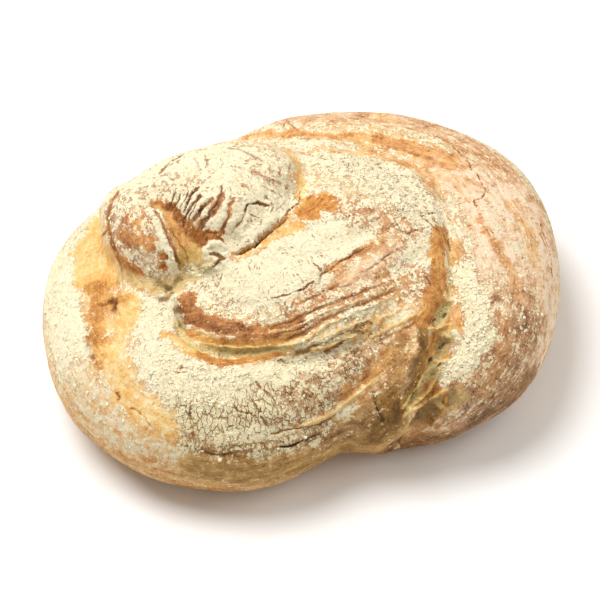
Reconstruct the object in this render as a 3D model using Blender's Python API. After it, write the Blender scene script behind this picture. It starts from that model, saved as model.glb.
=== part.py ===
"""Coiled country rye loaf with a knob, baked as one piece, so it is one solid.

Metres, +Z up, +X to the loaf's right, +Y to its back. The origin is the middle of the flat base.
The dough was a thick rope: a wide back coil and a front coil lie on the stone, an inner coil rides
on both and ends in a tongue, and the rope's end is tucked in as a knob. The pieces are united,
then the seams, tears and stretch ridges between them are drawn into the crust.
"""

import math

import bmesh
import bpy
import numpy as np
from mathutils import Vector, noise
from mathutils.bvhtree import BVHTree

# Driving dimensions of the coils: middle in plan, half width, half depth, top and belt heights, the
# turn in plan in degrees, and how square the outline is in plan, where 2 is an ellipse.
BACK_COIL = dict(middle=(0.030, 0.0165), half=(0.1085, 0.109), top=0.086, belt=0.038, turn=0, square=2.3)
FRONT_COIL = dict(middle=(-0.0425, -0.0130), half=(0.0975, 0.103), top=0.078, belt=0.034, turn=6, square=2.0)
INNER_COIL = dict(middle=(0.006, 0.011), half=(0.074, 0.080), top=0.096, belt=0.052, turn=20, square=2.0)
SIDE_ROUNDNESS = 2.3  # 2 is an ellipse, more is squarer
UNDERSIDE_DROP = 1.5  # how deep a coil would reach below its belt if the stone did not cut it flat

# The knob's two lobes, the bridge behind them and the fold between them: middle, half length, width and
# height, and turn in plan in degrees. The curl is a scrap of dough caught in front of them.
KNOB_LOBES = (
    dict(middle=(-0.038, 0.028, 0.080), half=(0.045, 0.038, 0.030), turn=26),
    dict(middle=(-0.081, 0.011, 0.072), half=(0.037, 0.025, 0.029), turn=-60),
    dict(middle=(-0.062, 0.034, 0.076), half=(0.042, 0.026, 0.028), turn=28),
    dict(middle=(-0.060, 0.004, 0.068), half=(0.030, 0.022, 0.021), turn=-60),
)
CURL = dict(middle=(-0.045, -0.009, 0.087), half=(0.012, 0.009, 0.009), turn=30)

MERIDIANS = 120  # facets round each piece before the pieces are united
PARALLELS = 72
JOIN_VOXEL = 0.0026  # grid on which the pieces are united
JOIN_SMOOTHING = 4  # passes that round the corners between the pieces
FINAL_TRIANGLES = 9600
FLAT_BELOW = 0.0012  # what lies lower than this is pressed onto the stone
LUMP_SIZE = 0.045  # distance between the dough's uneven swellings
LUMP_HEIGHT = 0.0022
BASE_EDGE = 0.012  # height over which the swellings fade out towards the base
CORE_HEIGHT = 0.030  # the crust faces away from a flat disc inside the loaf, of this height and radius
CORE_RADIUS = 0.060
LINE_SMOOTHING = 12  # passes that take the jumps out of a line laid across a fold
CRUST_SMOOTHING = 4  # passes that round the edges of the drawn grooves
OUTLINE_MIDDLE = (-0.0005, 0.0049)  # of the drawn loaf in plan, which becomes the origin

# Lines on the crust, as points in plan in metres, with a height where they run under the belt.
KNOB_SEAM = ((-0.070, -0.024), (-0.054, -0.016), (-0.034, -0.004), (-0.010, 0.018), (0.003, 0.040),
             (0.002, 0.062), (-0.010, 0.078), (-0.034, 0.086))
LOBE_CREASE = ((-0.082, 0.020), (-0.072, 0.010), (-0.061, -0.002), (-0.052, -0.012))
TONGUE_TEAR = ((-0.066, -0.030), (-0.060, -0.048), (-0.044, -0.062), (-0.020, -0.069), (0.006, -0.066),
               (0.030, -0.058), (0.052, -0.046))
OUTER_SEAM = ((-0.034, 0.088), (-0.006, 0.088), (0.022, 0.083), (0.052, 0.068), (0.072, 0.047),
              (0.079, 0.020), (0.083, -0.017), (0.076, -0.044), (0.068, -0.059, 0.045),
              (0.056, -0.073, 0.028), (0.046, -0.082, 0.012))
LEFT_FOLD = ((-0.108, 0.030), (-0.118, 0.010), (-0.104, -0.010), (-0.106, -0.036), (-0.097, -0.062))
FRONT_RIDGE = ((-0.026, -0.106), (0.000, -0.099), (0.021, -0.087), (0.040, -0.073), (0.054, -0.058))
STRETCH_LINES = (
    ((-0.016, -0.024), (0.010, -0.016), (0.030, -0.002), (0.048, 0.010)),
    ((-0.010, -0.044), (0.026, -0.034), (0.054, -0.018), (0.070, 0.000)),
    ((0.004, -0.056), (0.036, -0.047), (0.062, -0.032), (0.074, -0.016)),
)


def clear_scene():
    """Removes what the scene holds."""
    for found in list(bpy.data.objects):
        bpy.data.objects.remove(found)


def turned(x, y, degrees):
    """The plan point (x, y) turned about the origin."""
    angle = math.radians(degrees)
    return x * math.cos(angle) - y * math.sin(angle), x * math.sin(angle) + y * math.cos(angle)


def power(value, exponent):
    """A power that keeps the value's sign."""
    return math.copysign(abs(value) ** exponent, value)


def coil_point(unit, middle, half, top, belt, turn, square):
    """The point of a flat-based cushion that a point of the unit sphere goes to."""
    reach = math.hypot(unit.x, unit.y)
    spread = 0.0
    if reach > 1e-6:
        corner = (abs(unit.x / reach) ** square + abs(unit.y / reach) ** square) ** (-1 / square)
        spread = corner * power(reach, 2 / SIDE_ROUNDNESS) / reach
    rise = power(unit.z, 2 / SIDE_ROUNDNESS)
    span = top - belt if rise > 0 else belt * UNDERSIDE_DROP
    x, y = turned(unit.x * spread * half[0], unit.y * spread * half[1], turn)
    return Vector((middle[0] + x, middle[1] + y, max(0.0, belt + span * rise)))


def lobe_point(unit, middle, half, turn):
    """The point of a turned ellipsoid that a point of the unit sphere goes to."""
    x, y = turned(unit.x * half[0], unit.y * half[1], turn)
    return Vector((middle[0] + x, middle[1] + y, middle[2] + unit.z * half[2]))


def add_rounded(form, place, **sizes):
    """Adds a fine sphere to the form and moves each of its points by place(point, sizes)."""
    made = bmesh.ops.create_uvsphere(form, u_segments=MERIDIANS, v_segments=PARALLELS, radius=1.0)
    for vertex in made["verts"]:
        vertex.co = place(vertex.co.normalized(), **sizes)


def joined_dough(voxel):
    """The mesh of the coils and knob, united on a fine grid and softened at the joins."""
    form = bmesh.new()
    for coil in (BACK_COIL, FRONT_COIL, INNER_COIL):
        add_rounded(form, coil_point, **coil)
    for lobe in (*KNOB_LOBES, CURL):
        add_rounded(form, lobe_point, **lobe)
    mesh = bpy.data.meshes.new("dough")
    form.to_mesh(mesh)
    form.free()
    dough = bpy.data.objects.new("dough", mesh)
    bpy.context.scene.collection.objects.link(dough)
    unite = dough.modifiers.new("unite", "REMESH")
    unite.mode = "VOXEL"
    unite.voxel_size = voxel
    soften = dough.modifiers.new("soften", "SMOOTH")
    soften.factor = 0.5
    soften.iterations = JOIN_SMOOTHING
    evaluated = dough.evaluated_get(bpy.context.evaluated_depsgraph_get())
    united = bpy.data.meshes.new_from_object(evaluated)
    bpy.data.objects.remove(dough)
    return united


def positions(mesh):
    """The mesh's points as an array."""
    flat = np.empty(len(mesh.vertices) * 3)
    mesh.vertices.foreach_get("co", flat)
    return flat.reshape(-1, 3)


def outward_from_core(places):
    """Unit vectors away from the disc inside the loaf. They never cross, so a deep groove stays open."""
    reach = np.linalg.norm(places[:, :2], axis=1, keepdims=True)
    plan = places[:, :2] * np.minimum(1.0, CORE_RADIUS / np.maximum(reach, 1e-9))
    away = places - np.hstack([plan, np.full((len(places), 1), CORE_HEIGHT)])
    return away / np.linalg.norm(away, axis=1, keepdims=True)


def smooth_line(points, steps):
    """Points on the Catmull-Rom curve through the given ones."""
    given = np.array(points, float)
    padded = np.vstack([2 * given[0] - given[1], given, 2 * given[-1] - given[-2]])
    curve = []
    for a, b, c, d in zip(padded, padded[1:], padded[2:], padded[3:]):
        for t in np.arange(steps) / steps:
            curve.append(0.5 * (2 * b + (c - a) * t + (2 * a - 5 * b + 4 * c - d) * t**2
                                + (3 * b - a - 3 * c + d) * t**3))
    return np.array(curve + [given[-1]])


class CrustLine:
    """A smooth line laid on the crust, with each crust point's distance from it."""

    def __init__(self, crust, points, steps=10):
        above = 0.2
        laid = []
        for point in points:
            if len(point) == 2:
                hit = crust.ray_cast(Vector((*point, above)), Vector((0, 0, -1)))[0]
            else:
                hit = crust.find_nearest(Vector(point))[0]
            laid.append(hit)
        points = np.array([crust.find_nearest(Vector(p))[0] for p in smooth_line(laid, steps)])
        for _ in range(LINE_SMOOTHING):
            points[1:-1] = (points[:-2] + 2 * points[1:-1] + points[2:]) / 4
        self.points = points

    def measure(self, places, outward):
        """Each place's distance from the line, its share along it, and its side: 1 is to the left."""
        best = np.full(len(places), np.inf)
        share = np.zeros(len(places))
        side = np.zeros(len(places))
        count = len(self.points) - 1
        for i in range(count):
            start, run = self.points[i], self.points[i + 1] - self.points[i]
            t = np.clip((places - start) @ run / (run @ run), 0, 1)
            away = places - start - t[:, None] * run
            distance = np.linalg.norm(away, axis=1)
            closer = distance < best
            best[closer] = distance[closer]
            share[closer] = (i + t[closer]) / count
            across = (np.cross(run, away) * outward).sum(axis=1)
            side[closer] = np.sign(across[closer])
        return best, share, side


def fade(share, start=0.12, end=0.12):
    """1 along a line, falling smoothly to 0 over its two ends."""
    rise = np.clip(share / start, 0, 1)
    fall = np.clip((1 - share) / end, 0, 1)
    return np.sin(rise * math.pi / 2) * np.sin(fall * math.pi / 2)


def along(share, ends, late=1.0):
    """A value that goes from one end's to the other's, evenly or, with late above 1, mostly near the end."""
    return ends[0] + (ends[1] - ends[0]) * share**late


def draw_groove(places, outward, line, depth, width, late=1.0):
    """Presses a rounded valley into the crust along a line. Depth and width are given at its two ends."""
    distance, share, _ = line.measure(places, outward)
    valley = np.exp(-((distance / along(share, width, late)) ** 2))
    return places - outward * (along(share, depth, late) * fade(share) * valley)[:, None]


def draw_lip(places, outward, line, height, width, side):
    """Raises the crust on one side of a line, highest just beside it."""
    distance, share, sides = line.measure(places, outward)
    reach = distance / width
    swell = np.where(sides == side, reach * np.exp(1 - reach), 0.0)
    return places + outward * (height * fade(share) * swell)[:, None]


def raise_lumps(places, outward):
    """The slow, uneven swelling of hand-shaped dough."""
    lumps = np.array([noise.noise(Vector(p) / LUMP_SIZE) for p in places])
    off_base = np.clip(places[:, 2] / BASE_EDGE, 0, 1)
    return places + outward * (LUMP_HEIGHT * off_base * lumps)[:, None]


def baked_crust(mesh):
    """Draws the seams, the tear and the ridges into the mesh."""
    places = positions(mesh)
    outward = outward_from_core(places)
    crust = BVHTree.FromPolygons([Vector(p) for p in places], [tuple(f.vertices) for f in mesh.polygons])
    knob, crease, tear, outer, fold, ridge = (CrustLine(crust, points) for points in (
        KNOB_SEAM, LOBE_CREASE, TONGUE_TEAR, OUTER_SEAM, LEFT_FOLD, FRONT_RIDGE))
    stretches = [CrustLine(crust, points) for points in STRETCH_LINES]
    places = raise_lumps(places, outward)
    places = draw_groove(places, outward, knob, depth=(0.006, 0.004), width=(0.006, 0.006))
    places = draw_groove(places, outward, crease, depth=(0.003, 0.005), width=(0.005, 0.008))
    places = draw_groove(places, outward, tear, depth=(0.007, 0.004), width=(0.006, 0.006))
    places = draw_lip(places, outward, tear, height=0.004, width=0.012, side=1)
    places = draw_groove(places, outward, outer, depth=(0.001, 0.014), width=(0.006, 0.010), late=1.5)
    places = draw_groove(places, outward, fold, depth=(0.005, 0.005), width=(0.010, 0.010))
    places = draw_groove(places, outward, ridge, depth=(0.002, 0.003), width=(0.005, 0.005))
    for stretch in stretches:
        places = draw_groove(places, outward, stretch, depth=(0.002, 0.002), width=(0.0035, 0.0035))
    places[:, 2] = np.where(places[:, 2] < FLAT_BELOW, 0.0, places[:, 2])
    places[:, :2] -= OUTLINE_MIDDLE
    mesh.vertices.foreach_set("co", places.ravel())
    mesh.update()


def crust_material():
    """Golden-brown crust under a coat of flour."""
    material = bpy.data.materials.new("floured_crust")
    material.use_nodes = True
    shader = material.node_tree.nodes["Principled BSDF"]
    shader.inputs["Base Color"].default_value = (0.80, 0.62, 0.38, 1)
    shader.inputs["Roughness"].default_value = 0.8
    shader.inputs["Metallic"].default_value = 0.0
    return material


def make_loaf():
    """The whole loaf as one object, with as many triangles as its form needs."""
    mesh = joined_dough(JOIN_VOXEL)
    baked_crust(mesh)
    mesh.name = "loaf"
    loaf = bpy.data.objects.new("loaf", mesh)
    bpy.context.scene.collection.objects.link(loaf)
    triangles = sum(len(face.vertices) - 2 for face in mesh.polygons)
    settle = loaf.modifiers.new("settle", "SMOOTH")
    settle.factor = 0.5
    settle.iterations = CRUST_SMOOTHING
    thin = loaf.modifiers.new("thin", "DECIMATE")
    thin.ratio = FINAL_TRIANGLES / triangles
    mesh.shade_smooth()
    mesh.materials.append(crust_material())
    return loaf


def main():
    clear_scene()
    make_loaf()


main()
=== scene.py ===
"""Dresses the coiled rye loaf: the baked crust with its seams, tears and flour, loose flour, and a stage.

Metres, in the frame's own axes. Marks on the crust are drawn as pixels of the photograph, 600 x 600,
and laid on the crust along the camera's rays. Their widths and depths are real sizes in millimetres.
"""

import math
from collections import namedtuple

import bmesh
import bpy
import numpy as np
from bpy.props import FloatProperty, FloatVectorProperty, IntProperty, PointerProperty
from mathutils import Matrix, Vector, noise
from mathutils.bvhtree import BVHTree
from mathutils.kdtree import KDTree


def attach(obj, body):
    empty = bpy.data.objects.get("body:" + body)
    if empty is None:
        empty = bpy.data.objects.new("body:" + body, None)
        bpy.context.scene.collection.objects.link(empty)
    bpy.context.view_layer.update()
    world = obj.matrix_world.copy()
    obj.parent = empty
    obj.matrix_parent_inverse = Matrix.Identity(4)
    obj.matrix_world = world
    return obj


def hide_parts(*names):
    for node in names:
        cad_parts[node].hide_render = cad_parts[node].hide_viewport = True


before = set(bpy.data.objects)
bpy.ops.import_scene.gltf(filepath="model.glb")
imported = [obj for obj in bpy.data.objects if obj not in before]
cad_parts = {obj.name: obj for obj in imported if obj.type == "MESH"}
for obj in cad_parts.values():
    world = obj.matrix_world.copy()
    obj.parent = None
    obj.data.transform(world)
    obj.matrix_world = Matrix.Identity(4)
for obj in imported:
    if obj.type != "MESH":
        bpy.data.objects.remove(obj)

bl_info = {
    "name": "Rye loaf finish",
    "version": (1, 0, 0),
    "blender": (4, 5, 0),
    "location": "View3D > Sidebar > Rye loaf",
    "description": "Crust, flour and stage for a coiled country rye loaf",
    "category": "Object",
}

MM = 0.001
PHOTO_SIZE = 600
PIXELS_PER_METRE = 1864  # at the aim
CAMERA_DISTANCE = 1.6
CAMERA_ELEVATION = math.radians(50)
CAMERA_AIM = Vector((-0.0008, -0.0070, 0.0391))
SENSOR = 36.0  # width in mm

LIT = 1.2  # how strongly the lights shine on the loaf's top
LIT_FLOUR = 1.15  # on the flour, whose small clumps shade each other

BASE_HEIGHT = 0.2 * MM  # points below this lie on the flat base
BASE_PAINT_HEIGHT = 0.4 * MM  # and below this they get the base's paint
BASE_THINNING = 0.96  # share of the base's faces that are merged
FINE_REACH, FINEST_REACH = 2.6 * MM, 1.1 * MM  # how far round a mark the faces are halved, and halved again
FINEST_WIDTH = 1.0  # marks thinner than this, in mm, get the second halving
LINE_STEP = 0.7 * MM  # between points of a line, when the faces near it are looked for
WANDER_BROAD, WANDER_FINE = 4 * MM, 1.2 * MM  # sizes of the swellings that make a line uneven
SHIFT_BROAD, SHIFT_FINE = 0.8, 0.3  # how far they shift it, in mm
PRESS_REACH, PAINT_REACH = 4, 2.2  # how far a mark is followed, in half widths
WIDTH_WOBBLE, WOBBLE_SIZE = 0.35, 2.5 * MM  # how much a groove's width varies, and over what length
END_TAPER = 0.15  # share of a groove's length in which it fades at each end
LOOSE_FLOUR_ABOVE = 12 * MM  # no loose flour lies on rims below this height

GRAIN_DENSITY, CLUMP_DENSITY = 160000.0, 500000.0  # for each square metre, where they lie thickest
SMALLEST_GRAIN, SMALLEST_CLUMP = 0.25 * MM, 0.8 * MM
GRAIN_SEED, CLUMP_SEED = 3, 8

LAMP_SIZE = 1.1
LAMP_AIM = Vector((0, 0, 0.05))
KEY_PLACE = (-0.62, 0.32, 1.40)
FILL_PLACE = (1.00, -0.05, 1.00)
FLOOR_REACH = 4.0


def linear(red, green, blue, lit=LIT):
    """A colour as the lit top shows it, in 0 to 255 display values, as the share of light it reflects."""
    return tuple(((c / 255 + 0.055) / 1.055) ** 2.4 / lit for c in (red, green, blue))


# What can be painted on the crust: each is 0 to 1 at every point of it.
# flour: how much of the thick coat is left; haze: thin dust; tone: how dark the crust is, from the bake and,
# at the wedge, the curl and the side seam's flank, painted shade; olive: how far its colour leans from orange
# to olive, partly painted shade on the feet, the lower front and that flank; crumb: torn inside; crackle:
# cracks in the coat; score: dark line in cracks, seams and pores, partly the crust's colour and partly
# painted shade; streak: how far the dust is drawn out round the loaf; lumpy: how many clumps of flour lie on
# it.
CHANNELS = ("flour", "haze", "tone", "olive", "crumb", "crackle", "score", "streak", "lumpy")
BASE_PAINT = {"flour": 0.10, "haze": 0.35, "tone": 0.62}

Mark = namedtuple("Mark", "name pixels width press lip soft ragged paint")


def mark(name, pixels, width, press=0.0, lip=0.0, soft=0.35, ragged=0.35, **paint):
    """A line on the crust: its half width, how deep it is pressed in, the lip beside it, and its paint."""
    widths = width if isinstance(width, tuple) else (width, width)
    return Mark(name, pixels, widths, press, lip, soft, ragged, paint)


BROAD_AREAS = (
    mark("back rim dust", [(290, 118), (360, 116), (430, 126), (490, 160), (530, 205)], 12,
         flour=0.24, haze=0.68, tone=0.58, streak=0.8),
    mark("right lobe", [(455, 190), (485, 230), (500, 270), (505, 320), (490, 370), (470, 400)], 24, soft=0.5,
         flour=0.26, haze=0.90, tone=0.63, streak=0.8),
    mark("right lobe outer dust", [(520, 200), (545, 240), (552, 290), (545, 345), (525, 385)], 12, soft=0.5,
         flour=0.18, haze=1.7, tone=0.45, streak=0.8),
    mark("right lobe low dust", [(470, 425), (500, 405), (528, 380)], 9, soft=0.6, flour=0.06, haze=0.12,
         tone=0.86, olive=0.6),
    mark("right lobe thick flour", [(462, 262), (472, 285), (476, 315), (468, 340)], 8, soft=0.9, ragged=0.7,
         flour=0.76, haze=0.7, tone=0.62),
    mark("right lobe broken flour", [(490, 280), (498, 310), (494, 345), (480, 372)], 9, soft=0.9, ragged=0.7,
         flour=0.42, haze=0.7, tone=0.60),
    mark("right lobe lower half", [(472, 395), (495, 378), (515, 350), (530, 320)], 13, soft=0.9, ragged=0.6,
         flour=0.30, haze=0.36, tone=0.72, olive=0.30),
    mark("right lobe upper dust", [(450, 170), (475, 195), (492, 225), (500, 250)], 14, soft=0.6,
         flour=0.30, haze=2.0, tone=0.42),
    mark("inner edge dust", [(438, 185), (452, 210), (462, 240)], 6, soft=0.8,
         flour=0.62, haze=1.4, tone=0.40),
    mark("bare shoulder", [(425, 160), (455, 178), (468, 195)], 6, soft=0.7, ragged=0.7,
         flour=0.10, haze=0.9, tone=0.48),
    mark("inner coil flour", [(300, 150), (340, 160), (375, 172), (400, 190), (420, 215)], 14,
         flour=0.86, haze=0.3, tone=0.50, crackle=0.5),
    mark("tongue flour", [(205, 286), (240, 280), (280, 268), (320, 250), (350, 228)], 17,
         flour=1.0, haze=0.3, tone=0.55),
    mark("tongue left dashes", [(198, 274), (210, 290), (228, 304)], 5, soft=0.9, ragged=0.6, flour=0.74,
         haze=0.6, crackle=0.8),
    mark("tongue right flour", [(395, 262), (420, 260), (418, 282)], 9, flour=0.80, tone=0.6),
    mark("inner coil dusty brown", [(345, 208), (375, 218), (400, 228)], 10, soft=0.6,
         flour=0.46, haze=0.45, tone=0.62),
    mark("tongue lower flank", [(300, 312), (340, 298), (380, 285), (415, 285)], 10, soft=0.4,
         flour=0.42, haze=0.35, tone=0.62),
    mark("knob flour", [(165, 185), (200, 172), (240, 172), (262, 190), (250, 220)], 24,
         flour=0.93, haze=0.2, tone=0.6),
    mark("knob dusty left", [(154, 196), (164, 186), (190, 178)], 7, soft=0.8,
         flour=0.60, haze=0.8, tone=0.64),
    mark("knob dusty right", [(252, 162), (268, 172), (282, 186)], 5, soft=0.8,
         flour=0.62, haze=0.8, tone=0.66),
    mark("left lobe", [(125, 205), (135, 235), (150, 262)], 15, flour=0.60, haze=0.7, tone=0.72),
    mark("front coil flour", [(150, 318), (152, 345), (170, 372), (205, 385), (250, 388), (290, 378),
                              (335, 362)], 12, flour=0.93, haze=0.2, tone=0.4, crackle=0.25),
    # On the lower front the olive paint is partly painted shade, and it tints the flour there too.
    mark("front coil crackle", [(192, 420), (225, 424), (262, 414), (292, 401)], 12, soft=0.9,
         flour=0.90, haze=0.25, tone=0.48, olive=0.9, crackle=1.15),
    mark("front coil foot flour", [(185, 442), (220, 449), (260, 450), (300, 441), (335, 427)], 5, soft=0.6,
         flour=0.52, haze=0.3, tone=0.55, olive=0.9, crackle=0.9),
    mark("front coil shaded dust", [(300, 408), (325, 392), (345, 378), (375, 352)], 12, soft=0.5,
         flour=0.42, haze=0.65, tone=0.62, olive=0.6, crackle=0.9),
    mark("far left flour", [(60, 270), (58, 300), (64, 335), (76, 365)], 12, flour=1.05, haze=0.5, tone=0.25),
    mark("left foot dust", [(78, 375), (95, 402), (118, 428), (150, 445)], 9, soft=0.5,
         flour=0.45, haze=1.0, tone=0.30),
    mark("left bare patch", [(96, 225), (92, 250), (98, 275)], (10, 14), soft=0.2,
         flour=0.04, haze=0.0, tone=0.27),
    mark("left valley", [(98, 290), (102, 314), (98, 338), (104, 362)], (8, 5), soft=0.8, ragged=0.6,
         flour=0.08, haze=0.0, tone=0.56, olive=0.25),
    mark("left golden band", [(126, 305), (120, 340), (118, 368), (126, 392), (142, 412), (168, 428)], 7,
         soft=0.8, ragged=0.8, flour=0.14, haze=0.1, tone=0.25, olive=0.1),
    mark("left rim", [(72, 245), (100, 205), (122, 186)], 4, flour=0.80, haze=0.6, tone=0.1),
    # The feet darken and lean to olive: partly their crust's colour, partly painted shade.
    mark("foot left", [(75, 425), (105, 452), (150, 468), (200, 478)], 7, soft=0.5,
         flour=0.12, haze=0.30, tone=0.45, olive=0.3),
    mark("foot front", [(200, 470), (250, 475), (300, 465), (350, 445), (390, 432)], 10, soft=0.5,
         flour=0.03, haze=0.08, tone=0.52, olive=0.95),
    mark("front of the side seam", [(330, 440), (355, 425), (372, 408), (392, 398)], 7, soft=0.5,
         flour=0.18, haze=0.20, tone=0.62, olive=0.8),
    mark("foot right", [(395, 448), (450, 438), (495, 418), (530, 380)], 9, soft=0.5,
         flour=0.07, haze=0.12, tone=0.75, olive=0.6),
)

BARE_BANDS = (
    mark("tongue brown band", [(188, 300), (196, 318), (225, 326), (250, 332), (272, 331), (300, 322)],
         (6, 3.2), soft=0.3, flour=0.02, haze=0.08, tone=0.77),
    mark("tongue golden edge", [(184, 330), (210, 341), (245, 344), (275, 342), (300, 336)], 2.6,
         flour=0.0, haze=0.0, tone=0.55, olive=0.4),
    mark("right band", [(441, 234), (438, 258), (440, 282), (432, 302), (424, 322)], (5, 5.5), soft=0.2,
         flour=0.0, haze=0.05, tone=0.59, olive=0.1),
    mark("right band beyond the seam", [(454, 245), (458, 275), (462, 300), (458, 325), (452, 350),
                                        (442, 378)], 3.6, flour=0.12, haze=0.2, tone=0.50, olive=0.2),
    mark("top bare band", [(236, 138), (268, 133), (300, 134), (340, 137), (372, 138), (402, 145), (430, 153),
                           (452, 160)], (2.6, 7.0), soft=0.8, ragged=0.8, flour=0.05, haze=0.2, tone=0.54,
         streak=0.8),
    mark("top second band", [(370, 151), (398, 161), (425, 172), (436, 190)], 4.5, soft=0.7, ragged=0.7,
         flour=0.18, haze=0.5, tone=0.48, streak=0.8),
    mark("top dark streak", [(372, 140), (392, 146), (412, 153), (430, 158)], 1.4, soft=0.8, ragged=0.9,
         flour=0.0, tone=0.66),
    mark("top rim orange", [(288, 114), (330, 112), (372, 112), (392, 120)], 3, soft=0.8, ragged=0.9,
         flour=0.25, haze=0.4, tone=0.35),
    mark("beside the knob", [(286, 150), (298, 168), (301, 188), (292, 212), (275, 230)], 4, soft=0.5,
         ragged=0.6, flour=0.14, haze=0.1, tone=0.30),
    mark("knob flank", [(284, 192), (280, 206), (276, 214)], 3.6, soft=0.2, flour=0.0, haze=0.0, tone=0.70),
    mark("bare patch by the knob", [(306, 214), (314, 205), (326, 201)], 6.5, soft=0.2,
         flour=0.03, haze=0.0, tone=0.60),
    mark("under the knob crack", [(236, 256), (258, 246), (280, 234), (300, 226)], 3.4, soft=0.4,
         flour=0.15, haze=0.1, tone=0.32),
    mark("strip above the tongue crack", [(328, 270), (345, 261), (365, 250), (385, 240)], 3.0,
         flour=0.12, haze=0.2, tone=0.60),
    mark("tongue grey dust", [(345, 280), (368, 266), (392, 250)], 5.5, soft=0.6, flour=0.30, haze=0.95),
    mark("wedge", [(156, 205), (168, 218), (182, 234), (190, 248)], (3.0, 8.5), soft=0.2,
         flour=0.01, haze=0.15, tone=0.44, olive=0.2),
    mark("wedge shade", [(160, 203), (172, 209), (180, 218)], 2.6, flour=0.0, haze=0.0, tone=0.84),
    mark("wedge bottom", [(183, 262), (196, 258), (186, 272)], 5, soft=0.4, flour=0.0, haze=0.0, tone=0.36,
         olive=0.9),
    mark("below the scores", [(186, 226), (200, 238), (212, 238), (222, 240)], 4.2, flour=0.04, haze=0.0,
         tone=0.80),
    mark("left lobe upper patch", [(126, 220), (136, 222), (142, 226)], 3.6, soft=0.5, ragged=0.9,
         flour=0.25, haze=0.2, tone=0.72),
    mark("left lobe patch", [(120, 237), (136, 238), (148, 244)], 4.6, soft=0.3, ragged=0.7,
         flour=0.08, haze=0.15, tone=0.70),
    mark("left lobe low edge", [(122, 258), (130, 266), (142, 273)], 2.4, flour=0.05, haze=0.0, tone=0.72),
    mark("left lobe ridge flour", [(157, 212), (160, 225), (166, 240), (172, 256), (176, 270)], 3.2,
         press=-1.2, flour=1.0, haze=0.2, tone=0.6),
    mark("upper dot", [(162, 255), (163, 257)], 2.2, press=0.6, soft=0.2, flour=0.0, haze=0.0, tone=0.82),
    mark("lower dot", [(163, 265), (164, 268)], 2.2, press=0.6, soft=0.2, flour=0.0, haze=0.0, tone=0.74),
    mark("knob undercut", [(110, 206), (107, 222), (111, 240), (118, 258), (124, 268)], (1.8, 3.4),
         flour=0.0, haze=0.0, tone=0.66, olive=0.4),
    mark("pale fold under the knob", [(122, 274), (140, 283), (160, 287), (178, 284), (196, 270), (204, 264)],
         (3.6, 4.6), soft=0.6, ragged=0.6, flour=0.24, haze=0.35, tone=0.32, olive=0.8, crumb=0.25),
    mark("tear underside", [(186, 345), (200, 355), (222, 362), (246, 360), (266, 355), (290, 352)],
         (3.2, 2.2), soft=0.3, flour=0.04, haze=0.0, tone=0.55, olive=0.1),
    mark("orange by the tear", [(165, 335), (178, 344), (190, 352)], 3.2, flour=0.1, haze=0.0, tone=0.34),
    mark("bare by the ridge", [(348, 392), (362, 384), (378, 366), (392, 350)], 4.4, soft=0.5,
         flour=0.12, haze=0.15, tone=0.58, olive=0.2),
    # Painted shade: the side seam's smooth flank is painted dark and olive.
    mark("smooth flank of the side seam", [(424, 335), (424, 355), (414, 378), (404, 400), (392, 418),
                                           (378, 436)], (4.0, 7.0), soft=0.5,
         flour=0.03, haze=0.0, tone=0.76, olive=0.95),
    mark("olive flank above the flap", [(402, 342), (398, 362), (390, 384)], 4.5, soft=0.8, ragged=0.6,
         flour=0.08, haze=0.12, tone=0.64, olive=0.7),
    mark("flap by the front crack", [(384, 402), (396, 396), (405, 392)], 4.5, soft=0.8,
         flour=0.06, haze=0.0, tone=0.70, olive=0.9),
    mark("side seam ground", [(444, 305), (440, 335), (434, 362), (428, 388), (424, 412)], (5.0, 10.0),
         soft=0.3, flour=0.02, haze=0.05, tone=0.58, olive=0.35),
    mark("grey rib on the flank", [(402, 392), (408, 378), (412, 362), (417, 350)], 1.3, press=-0.6, soft=0.8,
         flour=0.10, haze=0.35),
    mark("bare by the left notch", [(130, 300), (128, 320)], 4.5, flour=0.05, haze=0.0, tone=0.30),
    mark("right lobe brown arc", [(480, 222), (498, 248), (512, 275), (520, 300)], 3.4, soft=0.8, ragged=0.8,
         flour=0.20, haze=0.35, tone=0.56),
    mark("right lobe inner arc", [(500, 320), (505, 345), (496, 372), (484, 395)], 4.0, soft=0.8, ragged=0.8,
         flour=0.18, haze=0.3, tone=0.64),
    mark("right lobe far arc", [(512, 205), (530, 235), (536, 262)], 3.6, soft=0.9, ragged=0.8,
         flour=0.22, haze=0.45, tone=0.45),
    mark("dust below the cells", [(438, 418), (455, 412), (468, 405)], 4.0, soft=0.5, flour=0.25, haze=0.95),
    mark("flour by the cells", [(446, 376), (458, 366), (470, 360)], 4.6, soft=0.3, flour=0.95),
    mark("flour beyond the cells", [(455, 345), (470, 335), (488, 330)], 4.6, soft=0.5, flour=0.75),
)

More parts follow.
